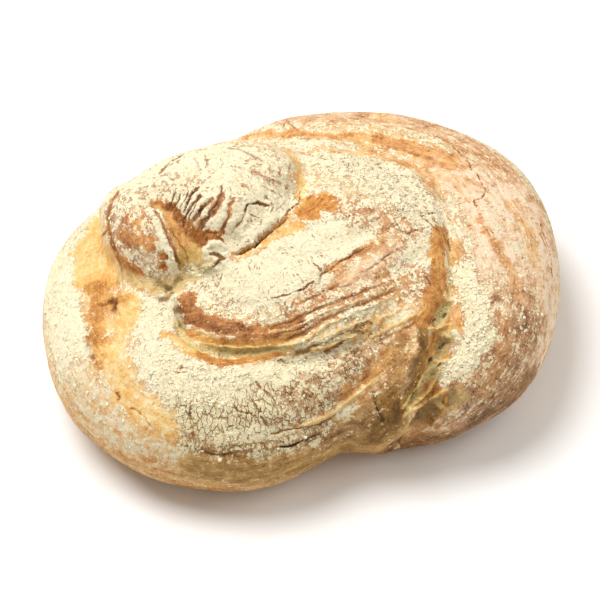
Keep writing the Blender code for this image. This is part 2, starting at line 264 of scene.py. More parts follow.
# Press above 0 cuts in, below 0 stands up.
SEAMS = (
    mark("knob shelf", [(283, 196), (272, 214), (256, 231), (238, 241)], 7.5, press=-3.6,
         tone=0.6, flour=1.0),
    mark("left lobe crown", [(140, 200), (140, 225), (152, 255)], 6.0, press=-1.6, tone=0.6),
    mark("knob seam", [(232, 253), (244, 251), (256, 244), (272, 230), (286, 219)], 1.2, press=3.2,
         flour=0.1, haze=0.0, tone=0.50, score=0.1),
    mark("knob seam crack", [(239, 253), (248, 250), (256, 244), (268, 235)], 0.9, press=2.4, score=1.0),
    mark("knob seam crack far", [(268, 235), (277, 227), (288, 218)], 0.6, press=1.2, score=0.7),
    mark("knob seam upper", [(286, 217), (290, 210), (298, 203), (300, 193)], 0.45, press=0.8, ragged=0.8,
         score=0.5, flour=0.1, tone=0.7),
    mark("knob top edge", [(160, 173), (166, 165), (178, 157), (192, 151), (206, 149)], 0.9, press=1.0,
         flour=0.45, score=0.35),
    mark("knob top fold", [(228, 148), (240, 150), (250, 154), (262, 160)], 0.8, press=0.7, score=0.45),
    mark("left lobe outer edge", [(118, 192), (110, 204), (107, 220), (112, 245), (122, 268)], 1.3, press=1.6,
         tone=0.66, score=0.25, flour=0.1),
    mark("notch by the knob", [(102, 236), (105, 233), (108, 228)], 0.6, press=0.5, tone=0.75, flour=0.0,
         score=0.25),
    mark("wedge left border", [(151, 202), (158, 216), (166, 230), (171, 243), (176, 256), (181, 268)], 1.2,
         press=1.8, score=0.35, flour=0.1),
    mark("wedge hair crack", [(172, 232), (180, 243), (186, 254), (188, 262)], 0.4, press=0.4, score=0.6),
    mark("pit", [(156, 283), (166, 288), (174, 286), (182, 278)], 1.8, press=2.6, crumb=0.6, olive=1.0,
         flour=0.0, tone=0.45),
    mark("pit crack", [(166, 292), (170, 286)], 1.0, press=1.6, score=0.6),
    mark("pit below", [(160, 300), (168, 297), (172, 292)], 1.2, press=1.6, score=0.5, crumb=0.4),
    mark("curl shadow", [(212, 254), (218, 254), (222, 258), (217, 264), (213, 266)], 1.1, press=1.6,
         flour=0.0, tone=0.7, olive=1.0, score=0.5),
    mark("curl body", [(206, 256), (207, 248), (214, 244), (222, 246), (225, 251)], 1.9, press=-2.0,
         flour=1.0, haze=0.3),
    mark("curl foot", [(206, 264), (214, 268), (220, 272)], 1.0, press=-0.8, flour=0.9),
    mark("tongue edge of the pit", [(176, 306), (180, 316), (184, 326)], 1.6, press=2.0,
         score=0.4, olive=0.8),
    mark("outer seam top", [(432, 184), (440, 195), (447, 206)], 0.7, press=0.8, score=0.3, flour=0.4,
         tone=0.30, olive=0.7),
    mark("outer seam", [(444, 224), (449, 240), (450, 262), (451, 285), (449, 300)], (1.0, 1.6), press=1.2,
         score=0.05, tone=0.34, olive=0.7, flour=0.05),
    mark("outer seam hair crack", [(445, 226), (449, 238), (451, 250)], 0.4, press=0.6, tone=0.7, score=0.3),
    mark("bare ground of the left notch", [(98, 304), (112, 302), (126, 298)], 4.0, soft=0.8, ragged=0.6,
         flour=0.02, haze=0.0, tone=0.50, olive=0.3),
    mark("left notch", [(100, 305), (108, 303), (116, 299)], 1.0, press=1.4, ragged=0.8,
         score=0.25, tone=0.76, flour=0.0),
    mark("left notch dark", [(111, 301), (115, 304), (114, 310)], 1.5, press=1.3, soft=0.7, ragged=0.8,
         score=0.3, flour=0.0, tone=0.8),
    mark("left ledge", [(86, 326), (89, 338), (88, 350), (96, 362)], 1.3, press=1.4, lip=0.5, score=0.2,
         tone=0.55),
    mark("golden band spot", [(117, 393), (119, 399)], 0.9, press=0.6, soft=0.7, ragged=0.8, tone=0.74,
         flour=0.0, score=0.15),
    mark("golden band crease", [(132, 409), (142, 414), (152, 426)], 0.5, press=0.5, ragged=0.9, tone=0.66,
         flour=0.0, score=0.15),
)

TEARS = (
    mark("tongue tear", [(178, 322), (184, 336), (198, 347), (220, 352), (244, 353), (266, 351), (284, 348)],
         (2.4, 1.6), press=2.8, soft=0.3, flour=0.0, haze=0.0, tone=0.26, olive=0.8, crumb=0.8),
    mark("tear lip", [(190, 341), (215, 346), (245, 348), (275, 346), (300, 341)], 0.8, press=-1.0,
         tone=0.3, olive=0.5, flour=0.2),
    mark("tear pocket", [(296, 353), (303, 351), (310, 349)], 1.3, press=2.2, flour=0.1, tone=0.6, olive=0.9,
         crumb=0.3, score=0.4),
    mark("tear low pocket", [(279, 361), (288, 364), (298, 363)], 0.9, press=1.0, ragged=0.8, flour=0.05,
         tone=0.66, olive=0.4, score=0.15),
    mark("tear end fill", [(294, 349), (318, 342), (340, 334), (362, 326), (384, 319)], 5.0, press=-2.6,
         soft=0.6, ragged=0.6, flour=0.34, haze=0.25, tone=0.30, olive=0.3, lumpy=0.05),
    mark("tear end ridge", [(306, 352), (328, 345), (348, 337), (364, 331)], 0.8, press=-1.3, flour=0.1,
         tone=0.24, olive=0.3),
    mark("tear end furrow", [(302, 348), (324, 341), (346, 331), (370, 323)], 0.8, press=1.4, flour=0.1,
         tone=0.66, olive=0.5, score=0.1),
    mark("tear end second ridge", [(318, 339), (340, 329), (362, 320)], 0.7, press=-1.0,
         flour=0.3, tone=0.26),
    mark("tear end pocket", [(326, 351), (336, 346), (344, 341)], 0.9, press=1.2, ragged=1.0, flour=0.1,
         tone=0.6, olive=0.9, score=0.15),
    mark("pocket under the ridge", [(351, 331), (356, 332), (362, 332)], 1.0, press=1.2, flour=0.1, tone=0.6,
         olive=0.9, crumb=0.2, score=0.3),
    mark("seam cell top", [(448, 301), (444, 311), (438, 320)], (1.2, 3.6), press=3.4, flour=0.0, haze=0.0,
         tone=0.3, olive=0.7, crumb=1.0),
    mark("seam cell second", [(446, 338), (442, 346), (436, 355)], 3.8, press=4.2, flour=0.0, haze=0.0,
         tone=0.56, olive=0.5, crumb=0.8),
    mark("seam cell hole", [(431, 359), (428, 362)], 1.3, press=3.0, score=0.9, crumb=0.8, flour=0.0),
    mark("seam cell slot", [(438, 368), (428, 376), (421, 388), (413, 400), (408, 407)], (3.0, 1.7),
         press=3.2, flour=0.0, haze=0.0, tone=0.4, olive=0.8, crumb=1.0),
    mark("seam slot pores", [(425, 378), (420, 388), (414, 399)], 0.9, press=1.4, ragged=0.8, score=0.85),
    mark("seam cell third", [(436, 405), (426, 413), (412, 424)], (4.2, 5.2), press=4.8, flour=0.0, haze=0.0,
         tone=0.72, olive=0.7, crumb=0.35),
    mark("seam cell fourth", [(459, 398), (450, 402), (443, 407)], (5.4, 4.2), press=3.2,
         flour=0.0, haze=0.05, tone=0.60, olive=0.5, crumb=0.55),
    mark("cell pores one", [(443, 341), (440, 346)], 0.8, press=0.9, ragged=0.7, score=0.8),
    mark("cell pores two", [(446, 311), (445, 315)], 0.7, press=0.8, ragged=0.5, score=0.8),
    mark("cell pores three", [(435, 319), (431, 322)], 0.7, press=0.8, ragged=0.5, score=0.8),
    mark("pore in the cream wedge", [(441, 364), (438, 367)], 0.6, press=0.9, ragged=0.4, score=0.8),
    mark("cell pores four", [(428, 408), (420, 413)], 1.0, press=0.8, soft=0.8, ragged=1.0, score=0.3),
)

WEBS = (
    mark("web below the first cell", [(428, 330), (440, 328), (450, 324)], 0.9, press=-2.0,
         flour=0.0, tone=0.26, olive=0.5, crumb=0.0),
    mark("web left of the second cell", [(438, 338), (434, 347), (431, 357)], 0.9, press=-1.6, flour=0.0,
         tone=0.5, olive=0.4, crumb=0.0),
    mark("web below the second cell", [(433, 360), (440, 364), (447, 360)], 1.1, press=-2.2, flour=0.1,
         tone=0.20, olive=0.7, crumb=0.2),
    mark("cream wedge of the seam", [(426, 374), (434, 368), (444, 365)], (1.0, 2.2), press=-1.2, flour=0.1,
         tone=0.08, olive=0.6, crumb=0.1),
    mark("web of the slot", [(444, 366), (436, 379), (426, 392), (412, 405), (404, 416)], 0.8, press=-2.4,
         flour=0.0, tone=0.24, olive=0.7, crumb=0.1),
    mark("slot left rim", [(425, 372), (418, 385), (411, 398), (403, 408)], 0.8, press=-1.0, flour=0.0,
         tone=0.28, olive=0.8, crumb=0.0),
    mark("web above the third cell", [(408, 412), (420, 403), (432, 398), (447, 390)], 0.9, press=-2.6,
         flour=0.0, tone=0.28, olive=0.4, crumb=0.0),
    mark("web beside the third cell", [(446, 396), (445, 407), (439, 417), (429, 426)], 0.8, press=-2.6,
         flour=0.0, tone=0.42, olive=0.2, crumb=0.0),
    mark("web under the third cell", [(404, 434), (416, 432), (429, 426)], 0.9, press=-1.6, flour=0.0,
         tone=0.44, olive=0.2, crumb=0.0),
)

RIDGES = (
    mark("front ridge", [(296, 428), (316, 421), (336, 410), (352, 398), (366, 387), (376, 378)], 1.3,
         press=-1.6, lip=0.0, flour=0.1, haze=0.2, tone=0.26, olive=0.7),
    mark("front crack", [(272, 434), (286, 431), (300, 428), (318, 424), (336, 414)], 0.6, press=1.0,
         tone=0.7, flour=0.1, score=0.3),
    mark("front low crack", [(281, 447), (291, 446), (300, 442)], 0.6, press=1.2, tone=0.8,
         flour=0.1, score=0.85),
    mark("front low crack end", [(300, 442), (310, 438), (320, 433)], 0.45, press=0.8, ragged=0.9, tone=0.8,
         flour=0.1, score=0.3),
    mark("front low branch", [(318, 434), (324, 438)], 0.4, press=0.6, score=0.35),
    mark("front upright crack", [(374, 396), (375, 404), (379, 413), (383, 421)], 0.45, press=0.8, ragged=0.7,
         tone=0.85, score=0.65),
    mark("front notch", [(372, 396), (382, 392)], 0.8, press=0.6, flour=0.6, haze=0.8),
    mark("front foot crack", [(205, 452), (216, 455), (235, 453), (252, 451)], 0.7, press=0.8, tone=0.75,
         flour=0.1, score=0.2),
    mark("tongue crack", [(273, 298), (286, 295), (300, 290), (312, 282), (323, 274), (336, 265), (352, 255),
                          (366, 247)], 0.45, press=1.0, lip=0.3, flour=0.1, tone=0.8, score=0.4),
    mark("tongue crack branch up", [(323, 274), (319, 268), (314, 263)], 0.4, press=0.6, flour=0.1, tone=0.75,
         score=0.3),
    mark("tongue crack branch down", [(323, 274), (320, 280), (319, 284)], 0.5, press=0.7, score=0.5),
    mark("stretch ridge low", [(276, 348), (297, 343), (312, 334), (328, 324), (348, 316), (372, 305),
                               (398, 296)], 0.8, press=-1.3, flour=0.15, haze=0.3, tone=0.24, olive=0.3),
    mark("stretch furrow low", [(285, 341), (305, 333), (326, 320), (350, 309), (374, 299), (400, 290)], 0.9,
         press=1.2, flour=0.12, tone=0.66, score=0.15),
    mark("stretch ridge middle", [(270, 331), (290, 329), (306, 322), (326, 312), (350, 304), (372, 294)],
         0.7, press=-0.9, flour=0.55, haze=0.5, tone=0.4),
    mark("stretch furrow middle", [(272, 327), (292, 321), (310, 312), (332, 303), (356, 294), (384, 283)],
         0.8, press=1.1, flour=0.15, tone=0.74, score=0.3),
    mark("stretch furrow upper", [(284, 310), (306, 300), (330, 290), (355, 284)], 0.8, press=0.8, flour=0.2,
         tone=0.68, score=0.2),
    mark("far ridge", [(366, 341), (382, 333), (398, 325), (420, 313)], 0.8, press=-1.3, flour=0.1, haze=0.2,
         tone=0.30, olive=0.4),
    mark("far furrow", [(360, 350), (380, 340), (400, 331), (418, 322)], 0.9, press=1.0,
         tone=0.55, score=0.15, flour=0.2),
    mark("far ridge upper", [(372, 322), (392, 314), (412, 305)], 0.7, press=-0.9, flour=0.3, tone=0.35),
    mark("far tear", [(352, 327), (360, 324), (368, 321)], 0.7, press=0.8, score=0.2, tone=0.6, olive=0.9,
         flour=0.2),
)

SCORES = (
    mark("score one", [(198, 187), (192, 194), (188, 203), (184, 212)], 0.8, press=1.5, lip=0.4, tone=0.84,
         flour=0.1, score=0.3),
    mark("score two", [(200, 195), (194, 203), (188, 212), (183, 221)], 0.8, press=1.5, lip=0.4, tone=0.84,
         flour=0.1, score=0.35),
    mark("score three", [(212, 199), (205, 205), (198, 213), (191, 224)], 1.0, press=1.7, lip=0.4, tone=0.82,
         flour=0.05, score=0.3),
    mark("score four", [(222, 195), (218, 203), (213, 212), (206, 219), (201, 227), (197, 235)], 1.7,
         press=1.7, lip=0.4, flour=0.02, tone=0.78, score=0.05),
    mark("score five", [(234, 199), (230, 208), (229, 217), (225, 225), (221, 235)], 1.3, press=1.5, lip=0.4,
         flour=0.04, tone=0.70, score=0.05),
    mark("score six", [(216, 204), (209, 211), (206, 221)], 0.7, press=1.1, flour=0.1, tone=0.8, score=0.25),
    mark("score seven", [(244, 214), (240, 222), (232, 232)], 0.6, press=0.9, flour=0.4, score=0.15),
    mark("crack above the seam", [(244, 211), (248, 205), (256, 203), (266, 205)], 0.7, press=1.4, lip=0.4,
         flour=0.1, score=0.45, tone=0.78),
    mark("score fine one", [(175, 191), (171, 202), (170, 208)], 0.5, press=0.8,
         flour=0.1, tone=0.8, score=0.3),
    mark("score fine two", [(181, 193), (177, 203), (174, 210)], 0.5, press=0.8,
         flour=0.1, tone=0.8, score=0.3),
    mark("score fine three", [(188, 193), (183, 203), (179, 212)], 0.5, press=0.8, flour=0.1, tone=0.8,
         score=0.35),
    mark("score fine four", [(207, 204), (200, 213), (195, 222)], 0.5, press=0.7,
         flour=0.1, tone=0.8, score=0.3),
    mark("score fine five", [(196, 206), (190, 216), (187, 226)], 0.5, press=0.7, flour=0.1, tone=0.8,
         score=0.35),
    mark("knob dash one", [(166, 168), (172, 164), (180, 160)], 0.5, press=0.4, flour=0.3, score=0.2),
    mark("knob dash two", [(205, 157), (207, 164), (206, 168)], 0.6, press=0.5, ragged=1.2, score=0.45),
    mark("knob dash three", [(196, 160), (199, 166)], 0.5, press=0.4, ragged=1.2, score=0.4),
    mark("knob dash four", [(256, 172), (268, 178), (280, 183)], 0.8, press=0.5, ragged=0.9, flour=0.3,
         tone=0.66, score=0.1),
    mark("knob dash five", [(262, 186), (272, 192), (280, 196)], 0.6, press=0.5, ragged=0.9, flour=0.35,
         tone=0.66, score=0.15),
    mark("knob dash six", [(264, 196), (270, 206), (268, 214)], 0.5, press=0.5, ragged=0.9,
         flour=0.3, score=0.25),
    mark("knob dash seven", [(250, 214), (258, 220), (262, 228)], 0.5, press=0.5, flour=0.3, score=0.2),
    mark("knob dash eight", [(240, 168), (250, 171), (262, 176)], 0.7, press=0.4, ragged=0.9, flour=0.35,
         score=0.15),
    mark("score fork", [(222, 186), (221, 193), (225, 198)], 0.4, press=0.4, flour=0.2, tone=0.8, score=0.4),
    mark("score fork two", [(230, 187), (232, 194), (229, 200)], 0.4, press=0.4,
         flour=0.2, tone=0.8, score=0.4),
    mark("score foot", [(206, 232), (213, 234), (222, 240)], 0.6, press=0.6, score=0.4, flour=0.1, tone=0.8),
    mark("pock", [(243, 185), (245, 186)], 1.1, press=0.8, flour=0.15, tone=0.6, score=0.15),
    mark("right lobe crack", [(453, 146), (461, 155), (467, 160), (472, 170)], 0.4, press=0.5, ragged=0.8,
         tone=0.74, flour=0.0, haze=0.0, score=0.25),
    mark("right lobe long crack", [(478, 175), (482, 185), (486, 190), (481, 198), (474, 200), (476, 206)],
         0.4, press=0.5, ragged=0.8, tone=0.74, flour=0.0, haze=0.0, score=0.28),
    mark("rim crack", [(540, 224), (545, 238), (550, 252), (552, 275)], 0.45, press=0.5, ragged=0.7,
         score=0.3, tone=0.74, haze=0.0),
    mark("rim edge", [(528, 190), (541, 204), (551, 226), (557, 246)], 0.7, press=0.4, tone=0.6, flour=0.1,
         haze=0.3),
    mark("top rim gash", [(352, 121), (362, 117), (368, 115)], 0.9, press=0.8, score=0.15, tone=0.62),
    mark("top crack", [(285, 117), (290, 124), (298, 131)], 0.5, press=0.5, flour=0.1, tone=0.6, score=0.3),
    mark("coil dash one", [(406, 234), (414, 231), (422, 230)], 0.6, press=0.7, flour=0.1, score=0.35,
         tone=0.75),
    mark("coil dash two", [(396, 222), (402, 230), (408, 234)], 0.4, press=0.4,
         flour=0.1, tone=0.75, score=0.3),
    mark("coil flake edge", [(366, 272), (374, 266), (384, 259), (392, 252)], 0.5, press=0.7, flour=0.1,
         tone=0.75, score=0.35),
    mark("coil flake edge two", [(426, 277), (430, 283), (433, 288)], 0.5, press=0.6, flour=0.1, tone=0.75,
         score=0.4),
    mark("coil flake edge three", [(420, 216), (428, 214), (434, 213)], 0.5, press=0.5, ragged=1.2, flour=0.1,
         tone=0.75, score=0.2),
    mark("coil flake edge four", [(428, 222), (434, 228), (440, 231)], 0.5, press=0.5, ragged=1.2, flour=0.1,
         tone=0.75, score=0.2),
    mark("left speck", [(177, 374), (180, 370), (182, 366)], 0.7, press=0.5, soft=0.6, ragged=1.0, tone=0.62,
         flour=0.15),
    mark("front coil crack one", [(250, 397), (256, 407), (262, 416), (268, 428)], 0.45, press=0.6, flour=0.2,
         tone=0.66, score=0.25),
    mark("front coil crack two", [(234, 405), (240, 412), (252, 413)], 0.45, press=0.6, flour=0.2, tone=0.66,
         score=0.3),
    mark("front coil crack three", [(255, 381), (262, 388), (270, 396), (276, 404), (282, 424)], 0.45,
         press=0.6, flour=0.2, tone=0.66, score=0.25),
    mark("front coil crack four", [(191, 402), (190, 416), (192, 432), (196, 446)], 0.5, press=0.5, flour=0.2,
         tone=0.6, score=0.2),
    mark("right lobe crease", [(480, 405), (490, 398), (498, 388)], 1.0, press=1.2, lip=0.4, tone=0.7,
         score=0.1),
)

CLUMPS = (
    mark("clumps under the tear", [(180, 362), (200, 372), (232, 374), (264, 372), (292, 366), (314, 358)],
         3.4, flour=1.0, lumpy=0.65),
    mark("clumps on the front coil", [(165, 350), (170, 376), (186, 396), (215, 402)], 5, soft=0.8,
         flour=0.95, lumpy=0.4),
    mark("clumps past the tear", [(300, 345), (318, 341), (336, 334), (352, 326)], 1.8, ragged=0.9,
         flour=0.64, lumpy=0.6),
    mark("clumps on the ridge end", [(345, 318), (358, 312), (372, 306)], 2.4, ragged=0.8,
         flour=0.8, lumpy=0.8),
    mark("clumps by the notch", [(150, 304), (160, 316), (166, 332)], 4, soft=0.6, lumpy=0.7),
    mark("clumps by the cells", [(448, 372), (456, 362), (470, 354), (486, 340)], 3.6, ragged=0.8, flour=0.95,
         lumpy=1.0),
    mark("clumps on the right lobe", [(462, 275), (472, 300), (482, 325)], 6, soft=0.8,
         flour=0.88, lumpy=0.7),
    mark("clumps on the inner coil", [(330, 160), (365, 178), (398, 205)], 9, soft=0.8, lumpy=0.5),
    mark("clumps on the tongue edge", [(200, 304), (225, 312), (262, 318), (290, 308)], 2.2, ragged=0.8,
         flour=0.6, lumpy=0.5),
    mark("clump on the seam rim", [(454, 333), (456, 336)], 1.9, press=-1.8, soft=0.15, ragged=0.1, flour=1.0,
         tone=0.3),
    mark("clumps under the knob", [(188, 268), (196, 272), (206, 268)], 2.2, ragged=0.8,
         flour=0.8, lumpy=0.8),
)

ALL_MARKS = BROAD_AREAS + BARE_BANDS + SEAMS + TEARS + WEBS + RIDGES + CLUMPS + SCORES

# The middles of the coils and of the knob's lobes, in pixels. The crust's streaks run along them.
COIL_LINES = (
    [(96, 215), (74, 258), (66, 310), (88, 365), (132, 402), (188, 425), (250, 424), (310, 402), (362, 372),
     (398, 338), (424, 306)],
    [(190, 300), (240, 296), (300, 286), (350, 264), (398, 236), (420, 205), (402, 180), (360, 162),
     (318, 155)],
    [(250, 124), (310, 122), (370, 126), (430, 142), (482, 170), (518, 215), (530, 268), (524, 325),
     (500, 375), (460, 412), (410, 440)],
    [(440, 190), (462, 225), (474, 270), (472, 320), (456, 362), (432, 400)],
    [(272, 165), (235, 168), (212, 195), (200, 238)],
    [(150, 195), (133, 222), (148, 266)],
    [(-20, 420), (60, 460), (180, 510), (330, 500), (460, 470), (570, 380)],
)
COIL_GAP = 0.37  # metres between the coils' parts of the map


class LoafSettings(bpy.types.PropertyGroup):
    """Sizes and colours of the loaf's finish."""

    voxel: FloatProperty(name="Mesh size", description="Edge length of the crust's mesh", default=0.00165,
                         unit="LENGTH")
    rounding: IntProperty(name="Rounding", description="Smoothing passes on the plain form", default=6)
    flour_colour: FloatVectorProperty(name="Flour", description="Colour of the thick flour coat",
                                      subtype="COLOR", default=linear(255, 246, 212, LIT_FLOUR))
    dust_colour: FloatVectorProperty(name="Dust", description="Colour of thin flour dust", subtype="COLOR",
                                     default=linear(252, 226, 198))
    crumb_colour: FloatVectorProperty(name="Crumb", description="Colour of the torn inside", subtype="COLOR",
                                      default=linear(236, 218, 158))
    # Dark colour of cracks, seams and pores: partly the crust's own, partly painted shade.
    crack_colour_and_shade: FloatVectorProperty(name="Cracks", description="Colour in the cracks", subtype="COLOR",
                                      default=linear(92, 52, 26))
    grain_size: FloatProperty(name="Grain size", description="Largest width of a grain of loose flour",
                              default=0.0009, unit="LENGTH")
    clump_size: FloatProperty(name="Clump size", description="Largest width of a clump of flour",
                              default=0.0030, unit="LENGTH")
    key_power: FloatProperty(name="Key light", description="Power of the large lamp", default=26.6)
    fill_power: FloatProperty(name="Fill light", description="Power of the lamp on the right", default=6.0)
    sky_strength: FloatProperty(name="Sky", description="Strength of the pale surroundings", default=0.42)
    sky_colour: FloatVectorProperty(name="Sky colour", description="Colour of the pale surroundings",
                                    subtype="COLOR", default=(1.0, 0.94, 0.84))
    floor_colour: FloatVectorProperty(name="Floor", description="Colour of the pale floor", subtype="COLOR",
                                      default=(0.93, 0.93, 0.93))


def view_axes():
    """The camera's forward and up directions. Its right is +X."""
    forward = Vector((0, math.cos(CAMERA_ELEVATION), -math.sin(CAMERA_ELEVATION)))
    up = Vector((0, math.sin(CAMERA_ELEVATION), math.cos(CAMERA_ELEVATION)))
    return forward, up


def place_on_crust(crust, pixel):
    """The point of the crust that a pixel of the photograph shows."""
    forward, up = view_axes()
    focal = PIXELS_PER_METRE * CAMERA_DISTANCE
    across, rise = pixel[0] - PHOTO_SIZE / 2, PHOTO_SIZE / 2 - pixel[1]
    start = CAMERA_AIM - forward * CAMERA_DISTANCE
    ray = (forward * focal + Vector((across, 0, 0)) + up * rise).normalized()
    hit = crust.ray_cast(start, ray)[0]
    if hit is None:
        hit = crust.find_nearest(start + ray * CAMERA_DISTANCE)[0]
    return hit


def smooth_line(points, steps):
    """Points on the Catmull-Rom curve through the given ones."""
    given = np.array(points, float)
    padded = np.vstack([2 * given[0] - given[1], given, 2 * given[-1] - given[-2]])
    curve = []
    for a, b, c, d in zip(padded, padded[1:], padded[2:], padded[3:]):
        for t in np.arange(steps) / steps:
            curve.append(0.5 * (2 * b + (c - a) * t + (2 * a - 5 * b + 4 * c - d) * t**2
                                + (3 * b - a - 3 * c + d) * t**3))
    return np.array(curve + [given[-1]])


def laid_line(crust, pixels):
    """A mark's line on the crust, as points."""
    steps = 4 if len(pixels) > 2 else 3
    return np.array([place_on_crust(crust, pixel) for pixel in smooth_line(pixels, steps)])


def wandered(places):
    """The places, each shifted a little, so that lines measured from them come out uneven."""
    shifts = [SHIFT_BROAD * noise.noise_vector(Vector(p) / WANDER_BROAD)
              + SHIFT_FINE * noise.noise_vector(Vector(p) / WANDER_FINE) for p in places]
    return places + np.array(shifts) * MM


def measure(places, line, reach):
    """The indices of the places within reach of a line, their distances and their shares along it."""
    low, high = line.min(axis=0) - reach, line.max(axis=0) + reach
    near = np.flatnonzero(((places > low) & (places < high)).all(axis=1))
    best = np.full(len(near), np.inf)
    share = np.zeros(len(near))
    count = len(line) - 1
    for i in range(count):
        run = line[i + 1] - line[i]
        away = places[near] - line[i]
        t = np.clip(away @ run / max(run @ run, 1e-12), 0, 1)
        distance = np.linalg.norm(away - t[:, None] * run, axis=1)
        closer = distance < best
        best[closer] = distance[closer]
        share[closer] = (i + t[closer]) / count
    return near, best, share


def smoothstep(low, high, value):
    """0 below low, 1 above high, with a smooth rise between."""
    t = np.clip((value - low) / (high - low), 0, 1)
    return t * t * (3 - 2 * t)


def noise_at(places, size, octaves=1, seed=0.0):
    """Smooth noise of about -1 to 1 at each place, with swellings of the given size."""
    shift = Vector((seed * 13.1, seed * 7.7, seed * 3.3))
    if octaves == 1:
        return np.array([noise.noise(Vector(p) / size + shift) for p in places])
    return np.array([noise.fractal(Vector(p) / size + shift, 0.8, 2.0, octaves) for p in places])


def show(name, data):
    """An object in the scene, at the origin, with this mesh, lamp or camera."""
    shown = bpy.data.objects.new(name, data)
    bpy.context.scene.collection.objects.link(shown)
    return shown


def plain_form(settings):
    """The frame's solid as one fine, smooth mesh."""
    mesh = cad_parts["loaf"].data.copy()
    form = bmesh.new()
    form.from_mesh(mesh)
    bmesh.ops.remove_doubles(form, verts=form.verts, dist=0.01 * MM)
    form.to_mesh(mesh)
    form.free()
    mesh.materials.clear()
    draft = show("draft", mesh)
    finer = draft.modifiers.new("finer", "SUBSURF")
    finer.levels = finer.render_levels = 1
    grid = draft.modifiers.new("grid", "REMESH")
    grid.mode = "VOXEL"
    grid.voxel_size = settings.voxel
    rounded = draft.modifiers.new("rounded", "SMOOTH")
    rounded.factor = 0.5
    rounded.iterations = settings.rounding
    return finished_mesh(draft)


def finished_mesh(draft):
    """A plain mesh of what a draft's modifiers make. The draft itself goes."""
    bpy.context.view_layer.update()
    evaluated = draft.evaluated_get(bpy.context.evaluated_depsgraph_get())
    mesh = bpy.data.meshes.new_from_object(evaluated)
    bpy.data.objects.remove(draft)
    return mesh


def positions(mesh):
    """The mesh's points as an array."""
    flat = np.empty(len(mesh.vertices) * 3, np.float32)
    mesh.vertices.foreach_get("co", flat)
    return flat.reshape(-1, 3).astype(float)


def normals(mesh):
    """The mesh's normals at its points, as an array."""
    flat = np.empty(len(mesh.vertices) * 3, np.float32)
    mesh.vertex_normals.foreach_get("vector", flat)
    return flat.reshape(-1, 3).astype(float)


def thin_base(mesh):
    """Merges the flat base's many small faces, which nothing is drawn on."""
    draft = show("draft", mesh)
    height = positions(mesh)[:, 2]
    flat = np.flatnonzero(height < BASE_HEIGHT)
    group = draft.vertex_groups.new(name="base")
    group.add(flat.tolist(), 1.0, "REPLACE")
    base_share = len(flat) / len(height)
    thin = draft.modifiers.new("thin", "DECIMATE")
    thin.vertex_group = "base"
    thin.ratio = 1 - base_share * BASE_THINNING
    return finished_mesh(draft)


def crust_tree(mesh):
    """A search tree of the mesh's faces."""
    form = bmesh.new()
    form.from_mesh(mesh)
    tree = BVHTree.FromBMesh(form)
    form.free()
    return tree


def refine_near(form, lines, reach):
    """Halves the edges of the faces that lie within reach of any of the lines."""
    points = np.vstack(lines)
    tree = KDTree(len(points))
    for index, point in enumerate(points):
        tree.insert(point, index)
    tree.balance()
    close = {v for v in form.verts if tree.find(v.co)[2] < reach}
    edges = [e for e in form.edges if e.verts[0] in close and e.verts[1] in close]
    bmesh.ops.subdivide_edges(form, edges=edges, cuts=1, use_grid_fill=True)
    bmesh.ops.triangulate(form, faces=form.faces)


def refined(mesh, lines):
    """The mesh with smaller faces where seams, cracks and tears are drawn."""
    form = bmesh.new()
    form.from_mesh(mesh)
    bmesh.ops.triangulate(form, faces=form.faces)
    pressed = [(m, line) for m, line in zip(ALL_MARKS, lines) if m.press]
    refine_near(form, [dense(line) for _, line in pressed], FINE_REACH)
    refine_near(form, [dense(line) for m, line in pressed if m.width[0] < FINEST_WIDTH], FINEST_REACH)
    form.to_mesh(mesh)
    form.free()
    return mesh


def dense(line):
    """The line with more points, about a step apart."""
    pieces = []
    for a, b in zip(line, line[1:]):
        count = max(2, int(np.linalg.norm(b - a) / LINE_STEP))
        pieces.append(a + (b - a) * np.linspace(0, 1, count, endpoint=False)[:, None])
    return np.vstack(pieces + [line[-1:]])


def width_along(m, share):
    """A mark's half width in metres at shares of its length."""
    return (m.width[0] + (m.width[1] - m.width[0]) * share) * MM


def press_marks(mesh, lines):
    """Presses the marks' grooves, ridges and lips into the mesh."""
    places = positions(mesh)
    rest = wandered(places)
    outward = normals(mesh)
    for m, line in zip(ALL_MARKS, lines):
        if not m.press:
            continue
        near, distance, share = measure(rest, line, max(m.width) * MM * PRESS_REACH)
        wobble = 1 + WIDTH_WOBBLE * noise_at(rest[near], WOBBLE_SIZE)
        ratio = distance / (width_along(m, share) * wobble)
        ends = np.clip(share / END_TAPER, 0, 1) * np.clip((1 - share) / END_TAPER, 0, 1)
        fade = np.sin(ends * math.pi / 2)
        valley = np.exp(-(ratio**2)) * fade
        swell = ratio**2 * np.exp(1 - ratio * 1.6) * fade
        rise = (m.lip * swell - m.press * valley) * MM
        places[near] += outward[near] * rise[:, None]
    mesh.vertices.foreach_set("co", places.astype(np.float32).ravel())
    mesh.update()


